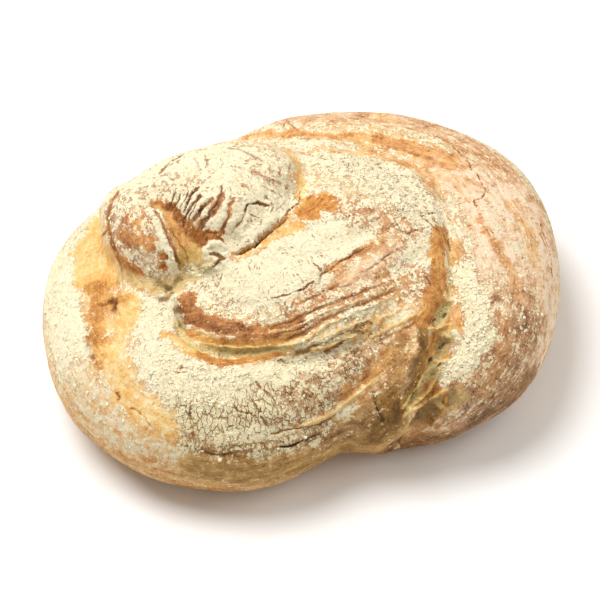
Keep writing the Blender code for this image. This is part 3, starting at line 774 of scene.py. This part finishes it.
def painted(mesh, lines):
    """What is painted at each point of the mesh, as an array for each channel."""
    plain = positions(mesh)
    places = wandered(plain)
    patches = noise_at(places, 30 * MM, 3)
    high = smoothstep(10 * MM, 45 * MM, plain[:, 2])
    upward = smoothstep(-0.2, 0.5, normals(mesh)[:, 2])
    paint = {name: np.zeros(len(places)) for name in CHANNELS}
    paint["flour"] = np.clip(0.12 + 0.50 * high + 0.25 * patches, 0, 1) * (0.4 + 0.6 * upward)
    paint["haze"] = np.clip(0.20 + 0.35 * high - 0.3 * patches, 0, 1)
    # Lower down the crust is darker, and leans to olive partly as painted shade.
    paint["tone"] = 0.56 - 0.22 * high
    paint["olive"] = 0.45 * (1 - high)
    paint["streak"] = np.full(len(places), 0.4)
    paint["crackle"] = np.full(len(places), 0.12)
    for m, line in zip(ALL_MARKS, lines):
        near, distance, share = measure(places, line, max(m.width) * MM * PAINT_REACH)
        rough = noise_at(places[near], min(max(m.width), 5) * 1.3 * MM, 3, seed=len(m.name))
        ratio = distance / width_along(m, share) + m.ragged * rough
        weight = 1 - smoothstep(1 - m.soft, 1 + m.soft, ratio)
        for channel, value in m.paint.items():
            held = paint[channel][near]
            if channel == "score":
                paint[channel][near] = np.maximum(held, value * weight)
            else:
                paint[channel][near] = held + (value - held) * weight
    base = plain[:, 2] < BASE_PAINT_HEIGHT
    for channel, value in BASE_PAINT.items():
        paint[channel][base] = value
    return paint


def roughen(mesh, paint, flow):
    """Raises lumps where the flour is thick, and low ridges along the coils where the dough stretched."""
    places = positions(mesh)
    outward = normals(mesh)
    free = smoothstep(1 * MM, 12 * MM, places[:, 2])
    lumps = noise_at(places, 4.5 * MM, 3)
    ridges = noise_at(flow * (0.12, 1, 1), 3.2 * MM, 2)
    swells = noise_at(flow * (0.25, 1, 1), 11 * MM, 1)
    thick = np.clip(paint["flour"], 0, 1)
    clumped = paint["lumpy"] * smoothstep(-0.1, 0.5, noise_at(places, 3.2 * MM, 2, seed=4))
    rise = 0.50 * thick * lumps + (0.36 - 0.16 * thick) * ridges + 0.7 * swells + 1.1 * clumped
    places += outward * (rise * free * MM)[:, None]
    mesh.vertices.foreach_set("co", places.astype(np.float32).ravel())
    mesh.update()


def nearest_on_line(places, outward, line):
    """How far along the line each place lies, and how far across it, to the left below 0."""
    best = np.full(len(places), np.inf)
    along = np.zeros(len(places))
    across = np.zeros(len(places))
    start = 0.0
    for i in range(len(line) - 1):
        run = line[i + 1] - line[i]
        length = np.linalg.norm(run)
        away = places - line[i]
        t = np.clip(away @ run / length**2, 0, 1)
        offset = away - t[:, None] * run
        distance = np.linalg.norm(offset, axis=1)
        side = np.sign(np.einsum("ij,ij->i", offset, np.cross(outward, run)))
        closer = distance < best
        best[closer] = distance[closer]
        along[closer] = start + t[closer] * length
        across[closer] = (distance * side)[closer]
        start += length
    return along, across


def flow_map(mesh, crust):
    """Maps each face in metres along the nearest coil line and across it, and returns the same by point."""
    places = positions(mesh)
    outward = normals(mesh)
    corner = np.empty(len(mesh.loops), np.int32)
    mesh.loops.foreach_get("vertex_index", corner)
    maps = [nearest_on_line(places, outward, laid_line(crust, pixels)) for pixels in COIL_LINES]
    along, across = (np.array(part) for part in zip(*maps))
    away = np.abs(across)
    owner = np.repeat(away[:, corner.reshape(-1, 3)].sum(axis=2).argmin(axis=0), 3)
    uv = np.column_stack([along[owner, corner], across[owner, corner] + owner * COIL_GAP])
    layer = mesh.uv_layers.new(name="flow")
    layer.data.foreach_set("uv", uv.astype(np.float32).ravel())
    nearest = away.argmin(axis=0)
    point = np.arange(len(places))
    return np.column_stack([along[nearest, point], across[nearest, point], nearest * COIL_GAP])


def flour_places(mesh, paint):
    """How many loose grains and clumps lie at each point: most on the rims of bare patches."""
    rims = np.clip(1 - np.abs(paint["flour"] - 0.6) / 0.4, 0, 1) * (paint["crumb"] < 0.2)
    rims *= positions(mesh)[:, 2] > LOOSE_FLOUR_ABOVE
    upward = smoothstep(0.1, 0.6, normals(mesh)[:, 2])
    plain = 1 - smoothstep(0.2, 0.6, paint["crackle"])
    thick = smoothstep(0.6, 1.0, paint["flour"]) * plain
    loose = np.clip(rims + 0.3 * paint["flour"], 0, 1) * upward * (0.25 + 0.75 * plain)
    clumped = np.clip(0.04 * rims + 0.07 * thick + paint["lumpy"], 0, 1) * upward
    return loose, clumped


def store(mesh, name, values):
    """Keeps a value for each point in the mesh."""
    layer = mesh.attributes.new(name, "FLOAT", "POINT")
    layer.data.foreach_set("value", values.astype(np.float32))


class NodeSheet:
    """Adds nodes to a shader tree and links them."""

    def __init__(self, tree):
        self.tree = tree

    def add(self, kind, inputs=(), **settings):
        node = self.tree.nodes.new(kind)
        for name, value in settings.items():
            setattr(node, name, value)
        for key, value in dict(inputs).items():
            if isinstance(value, bpy.types.NodeSocket):
                self.tree.links.new(value, node.inputs[key])
            else:
                node.inputs[key].default_value = value
        return node

    def math(self, operation, a, b=0.0, clamp=False):
        return self.add("ShaderNodeMath", {0: a, 1: b}, operation=operation, use_clamp=clamp).outputs[0]

    def noise(self, vector, size, detail=2.0, roughness=0.5):
        inputs = {"Vector": vector, "Scale": 1 / size, "Detail": detail, "Roughness": roughness}
        return self.add("ShaderNodeTexNoise", inputs).outputs["Fac"]

    def cells(self, vector, size, feature="DISTANCE_TO_EDGE"):
        node = self.add("ShaderNodeTexVoronoi", {"Vector": vector, "Scale": 1 / size}, feature=feature)
        return node.outputs["Distance"]

    def chips(self, vector, size):
        """A random value for each small cell."""
        return self.add("ShaderNodeTexVoronoi", {"Vector": vector, "Scale": 1 / size}).outputs["Color"]

    def weighted(self, *terms):
        """The sum of values, each times its weight."""
        total = None
        for value, weight in terms:
            term = self.math("MULTIPLY", value, weight)
            total = term if total is None else self.math("ADD", total, term)
        return total

    def remap(self, value, low, high, to_low=0.0, to_high=1.0):
        inputs = {"Value": value, "From Min": low, "From Max": high, "To Min": to_low, "To Max": to_high}
        return self.add("ShaderNodeMapRange", inputs, interpolation_type="SMOOTHSTEP").outputs["Result"]

    def mix(self, factor, *colours):
        """Two colours, mixed by a factor."""
        a, b = (c if isinstance(c, bpy.types.NodeSocket) else (*c, 1) for c in colours)
        return self.add("ShaderNodeMix", {0: factor, 6: a, 7: b}, data_type="RGBA").outputs[2]

    def ramp(self, value, stops):
        node = self.add("ShaderNodeValToRGB", {"Fac": value})
        band = node.color_ramp
        while len(band.elements) < len(stops):
            band.elements.new(0.5)
        for element, (position, colour) in zip(band.elements, stops):
            element.position = position
            element.color = (*colour, 1)
        return node.outputs["Color"]

    def attribute(self, name):
        return self.add("ShaderNodeAttribute", attribute_name=name).outputs["Fac"]

    def stretched(self, vector, scale):
        return self.add("ShaderNodeMapping", {"Vector": vector, "Scale": scale}).outputs["Vector"]


def new_group(name, inputs, outputs):
    """An empty shader node group with named sockets, its sheet, and its input and output nodes."""
    tree = bpy.data.node_groups.new(name, "ShaderNodeTree")
    for socket, kind, default in inputs:
        made = tree.interface.new_socket(socket, in_out="INPUT", socket_type=kind)
        if default is not None:
            made.default_value = default
    for socket, kind in outputs:
        tree.interface.new_socket(socket, in_out="OUTPUT", socket_type=kind)
    sheet = NodeSheet(tree)
    return tree, sheet, sheet.add("NodeGroupInput").outputs, sheet.add("NodeGroupOutput").inputs


BAKE_COLOURS = (
    (0.00, linear(250, 228, 176)), (0.25, linear(243, 202, 126)), (0.45, linear(232, 170, 90)),
    (0.62, linear(204, 136, 66)), (0.78, linear(166, 102, 46)), (0.92, linear(116, 68, 30)),
    (1.00, linear(64, 38, 18)),
)
OLIVE_COLOURS = (
    (0.00, linear(238, 222, 160)), (0.30, linear(218, 184, 108)), (0.50, linear(184, 142, 72)),
    (0.70, linear(146, 106, 48)), (1.00, linear(74, 52, 22)),
)


def baked_group():
    """Colour of bare crust from how dark it is baked, mottled at three sizes."""
    tree, sheet, given, out = new_group(
        "baked_crust", (("Vector", "NodeSocketVector", None), ("Tone", "NodeSocketFloat", 0.5),
                        ("Olive", "NodeSocketFloat", 0.0)), (("Color", "NodeSocketColor"),))
    tone = given["Tone"]
    for size, detail, amount in ((11 * MM, 3, 0.30), (3 * MM, 3, 0.22), (0.9 * MM, 2, 0.16)):
        mottle = sheet.math("SUBTRACT", sheet.noise(given["Vector"], size, detail), 0.5)
        tone = sheet.math("ADD", tone, sheet.math("MULTIPLY", mottle, amount))
    colour = sheet.mix(given["Olive"], sheet.ramp(tone, BAKE_COLOURS), sheet.ramp(tone, OLIVE_COLOURS))
    tree.links.new(colour, out["Color"])
    return tree


def flour_group(settings):
    """Colour of flour, from thin dust to the thick coat, with a fine grain whose low spots are painted darker
    as shade.
    """
    tree, sheet, given, out = new_group(
        "flour_colour", (("Vector", "NodeSocketVector", None), ("Thickness", "NodeSocketFloat", 1.0)),
        (("Color", "NodeSocketColor"), ("Grain", "NodeSocketFloat")))
    grain = sheet.noise(given["Vector"], 0.6 * MM, 3, 0.6)
    clouds = sheet.noise(given["Vector"], 9 * MM, 2)
    plain = sheet.mix(given["Thickness"], tuple(settings.dust_colour), tuple(settings.flour_colour))
    warm = sheet.mix(sheet.remap(clouds, 0.35, 0.75, 0.0, 0.30), plain, linear(246, 230, 190))
    shade = sheet.mix(sheet.remap(grain, 0.25, 0.5, 0.16, 0.0), warm, linear(206, 176, 128))
    tree.links.new(shade, out["Color"])
    tree.links.new(grain, out["Grain"])
    return tree


def use_group(sheet, tree, inputs):
    """The outputs of a node group, with these inputs."""
    return sheet.add("ShaderNodeGroup", inputs, node_tree=tree).outputs


def new_material(name):
    """An empty node material, its sheet and its Principled shader."""
    material = bpy.data.materials.new(name)
    material.use_nodes = True
    sheet = NodeSheet(material.node_tree)
    return material, sheet, material.node_tree.nodes["Principled BSDF"]


def crust_material(settings, baked, flour):
    """Bare crust, thin dust, the cracked flour coat, dark cracks and torn crumb, mixed by what is painted.

    The cracks, the crumb's pores and the coat's low chips are painted darker as shade.
    """
    material, sheet, shader = new_material("floured_crust")
    where = sheet.add("ShaderNodeTexCoord").outputs["Object"]
    flow = sheet.add("ShaderNodeUVMap", uv_map="flow").outputs["UV"]
    paint = {name: sheet.attribute(name) for name in CHANNELS}

    wave = sheet.add("ShaderNodeTexNoise", {"Vector": where, "Scale": 1 / (3 * MM), "Detail": 2.0})
    warp = sheet.stretched(wave.outputs["Color"], (2.6 * MM,) * 3)
    bent = sheet.add("ShaderNodeVectorMath", {0: warp, 1: where}, operation="ADD").outputs[0]
    bent_flow = sheet.add("ShaderNodeVectorMath", {0: warp, 1: flow}, operation="ADD").outputs[0]

    fine = sheet.noise(where, 1.3 * MM, 4, 0.65)
    broad = sheet.noise(where, 6 * MM, 5, 0.6)
    chips = sheet.chips(bent, 1.9 * MM)
    small_chips = sheet.chips(bent, 0.9 * MM)
    drawn = sheet.noise(sheet.stretched(flow, (0.16, 1.0, 1.0)), 1.4 * MM, 3, 0.6)
    drawn_broad = sheet.noise(sheet.stretched(flow, (0.30, 1.0, 1.0)), 5 * MM, 4, 0.6)
    plain_edge = sheet.weighted((chips, 0.24), (small_chips, 0.14), (broad, 0.37), (fine, 0.25))
    drawn_edge = sheet.weighted((drawn, 0.32), (drawn_broad, 0.24), (chips, 0.16), (fine, 0.28))
    edge_mix = sheet.add("ShaderNodeMix", {"Factor": paint["streak"], "A": plain_edge, "B": drawn_edge})
    edge = sheet.remap(edge_mix.outputs["Result"], 0.34, 0.66)

    plates = sheet.cells(sheet.stretched(bent_flow, (1.0, 0.48, 1.0)), 2.7 * MM)
    small_plates = sheet.cells(sheet.stretched(bent_flow, (1.0, 0.4, 1.0)), 1.6 * MM)
    crack = sheet.math("MAXIMUM", sheet.remap(plates, 0.015, 0.080, 1.0, 0.0),
                       sheet.remap(small_plates, 0.03, 0.12, 0.45, 0.0))
    unbroken = sheet.remap(sheet.noise(where, 4 * MM, 3), 0.32, 0.68)
    shown = sheet.remap(sheet.math("SUBTRACT", paint["crackle"], unbroken), 0.0, 0.5)
    coated = sheet.math("MULTIPLY", paint["flour"], 2.5, clamp=True)
    crack = sheet.math("MULTIPLY", sheet.math("MULTIPLY", crack, shown), coated)

    dashes = sheet.noise(sheet.stretched(bent_flow, (1.0, 0.40, 1.0)), 1.2 * MM, 2, 0.5)
    where_dashed = sheet.remap(sheet.noise(where, 8 * MM, 2), 0.46, 0.60)
    pits = sheet.math("MULTIPLY", sheet.remap(dashes, 0.59, 0.65), where_dashed)
    crack = sheet.math("MAXIMUM", crack, sheet.math("MULTIPLY", pits, 0.75))
    cover = sheet.math("SUBTRACT", paint["flour"], edge)
    cover = sheet.remap(cover, -0.09, 0.07)
    cover = sheet.math("MULTIPLY", cover, sheet.math("SUBTRACT", 1.0, sheet.math("MULTIPLY", crack, 0.9)))
    cover = sheet.math("MULTIPLY", cover, sheet.math("SUBTRACT", 1.0, paint["score"], clamp=True), clamp=True)
    veil_edge = sheet.weighted((edge, 0.45), (fine, 0.75))
    veil = sheet.remap(sheet.math("SUBTRACT", paint["flour"], veil_edge), -0.42, 0.15, 0.0, 0.62)
    clouds = sheet.weighted((drawn, 0.16), (drawn_broad, 0.26), (broad, 0.34), (fine, 0.24))
    dust_grain = sheet.remap(clouds, 0.41, 0.59, 1.0, 0.18)
    dust = sheet.math("MULTIPLY", sheet.math("MULTIPLY", paint["haze"], dust_grain), 0.9, clamp=True)
    dust = sheet.math("MAXIMUM", dust, veil)
    dark_line = sheet.math("MAXIMUM", crack, paint["score"])
    dust = sheet.math("MULTIPLY", dust, sheet.math("SUBTRACT", 1.0, dark_line))

    grained = sheet.weighted((drawn, 0.24), (drawn_broad, 0.28), (fine, 0.24), (broad, 0.24))
    grained = sheet.math("SUBTRACT", grained, 0.5)
    # The coat's cracks show the crust, painted a little darker in them as shade.
    tone = sheet.weighted((paint["tone"], 1.0), (grained, 1.9), (crack, 0.16))
    bare = use_group(sheet, baked, {"Vector": where, "Tone": tone, "Olive": paint["olive"]})["Color"]
    thick = use_group(sheet, flour, {"Vector": where, "Thickness": 1.0})
    thin = use_group(sheet, flour, {"Vector": where, "Thickness": 0.0})
    pores = sheet.cells(bent, 1.8 * MM, "F1")
    crumb_shade = sheet.remap(sheet.noise(where, 1.3 * MM, 4, 0.65), 0.35, 0.55, 0.6, 0.0)
    crumb_shade = sheet.math("MAXIMUM", crumb_shade, sheet.remap(pores, 0.15, 0.40, 0.8, 0.0))
    crumb = sheet.mix(crumb_shade, tuple(settings.crumb_colour), linear(136, 108, 60))

    colour = sheet.mix(dust, bare, thin["Color"])
    # Painted shade: the coat's low chips, which the bump sinks, are painted a warm darker colour.
    painted_chip_shade = sheet.remap(sheet.weighted((chips, 0.5), (small_chips, 0.5)), 0.22, 0.48, 0.45, 0.0)
    layer = sheet.mix(painted_chip_shade, thick["Color"], linear(224, 188, 132))
    # Painted shade: where the olive paint is high, on the lower front and feet, the flour is tinted
    # yellow-olive.
    layer = sheet.mix(sheet.math("MULTIPLY", paint["olive"], 0.30), layer, linear(238, 220, 152))
    colour = sheet.mix(sheet.remap(cover, 0.3, 0.7), colour, layer)
    colour = sheet.mix(sheet.math("MULTIPLY", paint["crumb"], 0.9), colour, crumb)
    # Painted shade: cracks, seams and pores go dark, near black where the score paint is strongest, over the
    # crust's darker colour there.
    deep = sheet.mix(sheet.remap(paint["score"], 0.6, 1.0), tuple(settings.crack_colour_and_shade), linear(34, 20, 12))
    colour = sheet.mix(sheet.math("MULTIPLY", paint["score"], 0.97), colour, deep)
    sheet.tree.links.new(colour, shader.inputs["Base Color"])

    roughness = sheet.remap(cover, 0.0, 1.0, 0.62, 0.95)
    sheet.tree.links.new(roughness, shader.inputs["Roughness"])
    shader.inputs["Specular IOR Level"].default_value = 0.25

    lumpy = sheet.weighted((fine, 0.35), (broad, 1.3), (chips, 0.60), (small_chips, 0.28))
    thickness = sheet.remap(paint["flour"], 0.05, 0.75, 0.25, 1.0)
    height = sheet.math("MULTIPLY", sheet.math("MULTIPLY", cover, thickness), sheet.math("ADD", lumpy, -0.6))
    open_crumb = sheet.math("MULTIPLY", pores, paint["crumb"])
    height = sheet.weighted((height, 0.75), (thick["Grain"], 0.08), (drawn_edge, 0.75), (fine, 0.3),
                            (crack, -0.3), (open_crumb, 0.6))
    bump = sheet.add("ShaderNodeBump", {"Height": height, "Distance": 1.0 * MM, "Strength": 1.0})
    sheet.tree.links.new(bump.outputs["Normal"], shader.inputs["Normal"])
    return material


def loose_flour_material(settings, flour):
    """Matte cream flour with a fine grain, darker as painted shade in its low spots, for grains and clumps.
    """
    material, sheet, shader = new_material("loose_flour")
    where = sheet.add("ShaderNodeTexCoord").outputs["Object"]
    made = use_group(sheet, flour, {"Vector": where, "Thickness": 0.9})
    sheet.tree.links.new(made["Color"], shader.inputs["Base Color"])
    shader.inputs["Roughness"].default_value = 0.95
    bump = sheet.add("ShaderNodeBump", {"Height": made["Grain"], "Distance": 0.2 * MM})
    sheet.tree.links.new(bump.outputs["Normal"], shader.inputs["Normal"])
    return material


def scatter_tree():
    """Nodes that lay small uneven lumps on a surface, more where an attribute is high."""
    tree = bpy.data.node_groups.new("lumps_on_crust", "GeometryNodeTree")
    wanted = (("Crust", "NodeSocketGeometry", None), ("Where", "NodeSocketFloat", 0.0),
              ("Density", "NodeSocketFloat", 1e5), ("Smallest", "NodeSocketFloat", 0.2 * MM),
              ("Largest", "NodeSocketFloat", 1 * MM), ("Flatness", "NodeSocketFloat", 0.6),
              ("Unevenness", "NodeSocketFloat", 0.3 * MM), ("Seed", "NodeSocketInt", 1),
              ("Material", "NodeSocketMaterial", None))
    for name, kind, default in wanted:
        made = tree.interface.new_socket(name, in_out="INPUT", socket_type=kind)
        if default is not None:
            made.default_value = default
    tree.interface.new_socket("Lumps", in_out="OUTPUT", socket_type="NodeSocketGeometry")
    sheet = NodeSheet(tree)
    given = sheet.add("NodeGroupInput").outputs
    out = sheet.add("NodeGroupOutput").inputs
    density = sheet.math("MULTIPLY", given["Density"], given["Where"])
    points = sheet.add("GeometryNodeDistributePointsOnFaces",
                       {"Mesh": given["Crust"], "Density": density, "Seed": given["Seed"]},
                       distribute_method="RANDOM")
    lump = sheet.add("GeometryNodeMeshIcoSphere", {"Radius": 0.5, "Subdivisions": 1})
    size = sheet.add("FunctionNodeRandomValue", data_type="FLOAT")
    chance = sheet.math("POWER", size.outputs[1], 3.0)
    tree.links.new(given["Seed"], size.inputs["Seed"])
    span = sheet.math("SUBTRACT", given["Largest"], given["Smallest"])
    width = sheet.math("ADD", given["Smallest"], sheet.math("MULTIPLY", span, chance))
    scale = sheet.add("ShaderNodeCombineXYZ", {"X": width, "Y": sheet.math("MULTIPLY", width, 0.8),
                                               "Z": sheet.math("MULTIPLY", width, given["Flatness"])})
    spin = sheet.add("FunctionNodeRandomValue", data_type="FLOAT_VECTOR")
    spin.inputs[0].default_value = (-0.3, -0.3, -math.pi)
    spin.inputs[1].default_value = (0.3, 0.3, math.pi)
    turned = sheet.add("FunctionNodeRotateRotation", rotation_space="LOCAL")
    as_rotation = sheet.add("FunctionNodeEulerToRotation", {0: spin.outputs[0]})
    tree.links.new(points.outputs["Rotation"], turned.inputs["Rotation"])
    tree.links.new(as_rotation.outputs[0], turned.inputs["Rotate By"])
    laid = sheet.add("GeometryNodeInstanceOnPoints",
                     {"Points": points.outputs["Points"], "Instance": lump.outputs["Mesh"],
                      "Rotation": turned.outputs[0], "Scale": scale.outputs[0]})
    real = sheet.add("GeometryNodeRealizeInstances", {"Geometry": laid.outputs[0]})
    wave = sheet.add("ShaderNodeTexNoise", {"Scale": 1 / (0.9 * MM), "Detail": 1.0}).outputs["Color"]
    centred = sheet.add("ShaderNodeVectorMath", {0: wave, 1: (0.5, 0.5, 0.5)}, operation="SUBTRACT")
    offset = sheet.add("ShaderNodeVectorMath", {0: centred.outputs[0], "Scale": given["Unevenness"]},
                       operation="SCALE")
    uneven = sheet.add("GeometryNodeSetPosition", {"Geometry": real.outputs[0], "Offset": offset.outputs[0]})
    finished = sheet.add("GeometryNodeSetMaterial",
                         {"Geometry": uneven.outputs[0], "Material": given["Material"]})
    tree.links.new(finished.outputs[0], out["Lumps"])
    return tree


def scattered(name, crust, tree, attribute, material, **sizes):
    """A piece of lumps laid on the crust where one of its attributes is high."""
    draft = show("draft", crust.data)
    modifier = draft.modifiers.new("scatter", "NODES")
    modifier.node_group = tree
    sockets = {item.name: item.identifier for item in tree.interface.items_tree if item.in_out == "INPUT"}
    for key, value in dict(sizes, Material=material).items():
        modifier[sockets[key]] = value
    modifier[sockets["Where"] + "_use_attribute"] = True
    modifier[sockets["Where"] + "_attribute_name"] = attribute
    mesh = finished_mesh(draft)
    mesh.name = name
    mesh.shade_smooth()
    return show(name, mesh)


class RYELOAF_OT_crust(bpy.types.Operator):
    """Make the crust with its seams, tears, cracks and flour coat"""

    bl_idname = "ryeloaf.crust"
    bl_label = "Bake crust"

    def execute(self, context):
        settings = context.scene.rye_loaf
        mesh = thin_base(plain_form(settings))
        tree = crust_tree(mesh)
        lines = [laid_line(tree, m.pixels) for m in ALL_MARKS]
        mesh = refined(mesh, lines)
        paint = painted(mesh, lines)
        press_marks(mesh, lines)
        for name, values in paint.items():
            store(mesh, name, values)
        loose, clumped = flour_places(mesh, paint)
        store(mesh, "loose", loose)
        store(mesh, "clumped", clumped)
        roughen(mesh, paint, flow_map(mesh, tree))
        mesh.materials.clear()
        mesh.materials.append(crust_material(settings, baked_group(), flour_group(settings)))
        mesh.shade_smooth()
        mesh.name = "crust"
        crust = show("crust", mesh)
        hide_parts("loaf")
        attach(crust, "root")
        return {"FINISHED"}


class RYELOAF_OT_flour(bpy.types.Operator):
    """Lay loose grains and clumps of flour on the crust"""

    bl_idname = "ryeloaf.flour"
    bl_label = "Dust with flour"

    def execute(self, context):
        settings = context.scene.rye_loaf
        crust = bpy.data.objects["crust"]
        tree = scatter_tree()
        material = loose_flour_material(settings, bpy.data.node_groups["flour_colour"])
        grains = scattered("flour_grains", crust, tree, "loose", material, Density=GRAIN_DENSITY,
                           Smallest=SMALLEST_GRAIN, Largest=settings.grain_size, Flatness=0.7,
                           Unevenness=0.25 * MM, Seed=GRAIN_SEED)
        clumps = scattered("flour_clumps", crust, tree, "clumped", material, Density=CLUMP_DENSITY,
                           Smallest=SMALLEST_CLUMP, Largest=settings.clump_size, Flatness=0.45,
                           Unevenness=1.2 * MM, Seed=CLUMP_SEED)
        for piece in (grains, clumps):
            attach(piece, "root")
        return {"FINISHED"}


class RYELOAF_OT_stage(bpy.types.Operator):
    """Set the pale floor, the soft lights and the camera"""

    bl_idname = "ryeloaf.stage"
    bl_label = "Set stage"

    def execute(self, context):
        settings = context.scene.rye_loaf
        self.add_floor(settings)
        self.add_lights(context.scene, settings)
        self.add_camera(context.scene)  # the photograph's view
        context.scene.view_settings.view_transform = "Standard"
        return {"FINISHED"}

    def add_floor(self, settings):
        form = bmesh.new()
        bmesh.ops.create_grid(form, x_segments=8, y_segments=8, size=FLOOR_REACH)
        mesh = bpy.data.meshes.new("floor")
        form.to_mesh(mesh)
        form.free()
        material, _, shader = new_material("pale_floor")
        shader.inputs["Base Color"].default_value = (*settings.floor_colour, 1)
        shader.inputs["Roughness"].default_value = 0.9
        mesh.materials.append(material)
        show("floor", mesh)

    def add_lights(self, scene, settings):
        world = bpy.data.worlds.new("pale surroundings")
        world.use_nodes = True
        sky = world.node_tree.nodes["Background"].inputs
        sky["Color"].default_value = (*settings.sky_colour, 1)
        sky["Strength"].default_value = settings.sky_strength
        scene.world = world
        self.add_lamp("key", settings.key_power, KEY_PLACE)
        self.add_lamp("fill", settings.fill_power, FILL_PLACE)

    def add_lamp(self, name, power, place):
        lamp = bpy.data.lights.new(name, "AREA")
        lamp.shape = "DISK"
        lamp.size = LAMP_SIZE
        lamp.energy = power
        stand = show(name, lamp)
        stand.location = place
        aim = LAMP_AIM - stand.location
        stand.rotation_euler = aim.to_track_quat("-Z", "Y").to_euler()

    def add_camera(self, scene):
        forward, up = view_axes()
        camera = bpy.data.cameras.new("camera")
        camera.sensor_width = SENSOR
        camera.lens = PIXELS_PER_METRE * CAMERA_DISTANCE * SENSOR / PHOTO_SIZE
        stand = show("camera", camera)
        stand.location = CAMERA_AIM - forward * CAMERA_DISTANCE
        stand.rotation_euler = forward.to_track_quat("-Z", "Y").to_euler()
        scene.camera = stand


OPERATORS = (RYELOAF_OT_crust, RYELOAF_OT_flour, RYELOAF_OT_stage)


class RYELOAF_PT_panel(bpy.types.Panel):
    """The loaf's settings and the steps that make it"""

    bl_label = "Rye loaf"
    bl_idname = "RYELOAF_PT_panel"
    bl_space_type = "VIEW_3D"
    bl_region_type = "UI"
    bl_category = "Rye loaf"

    def draw(self, context):
        settings = context.scene.rye_loaf
        for name in LoafSettings.__annotations__:
            self.layout.prop(settings, name)
        for operator in OPERATORS:
            self.layout.operator(operator.bl_idname)


CLASSES = (LoafSettings, *OPERATORS, RYELOAF_PT_panel)


def register():
    for cls in CLASSES:
        bpy.utils.register_class(cls)
    bpy.types.Scene.rye_loaf = PointerProperty(type=LoafSettings)


def unregister():
    del bpy.types.Scene.rye_loaf
    for cls in reversed(CLASSES):
        bpy.utils.unregister_class(cls)


def main():
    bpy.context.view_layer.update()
    register()
    bpy.ops.ryeloaf.crust()
    bpy.ops.ryeloaf.flour()
    bpy.ops.ryeloaf.stage()


if __name__ == "__main__":
    main()
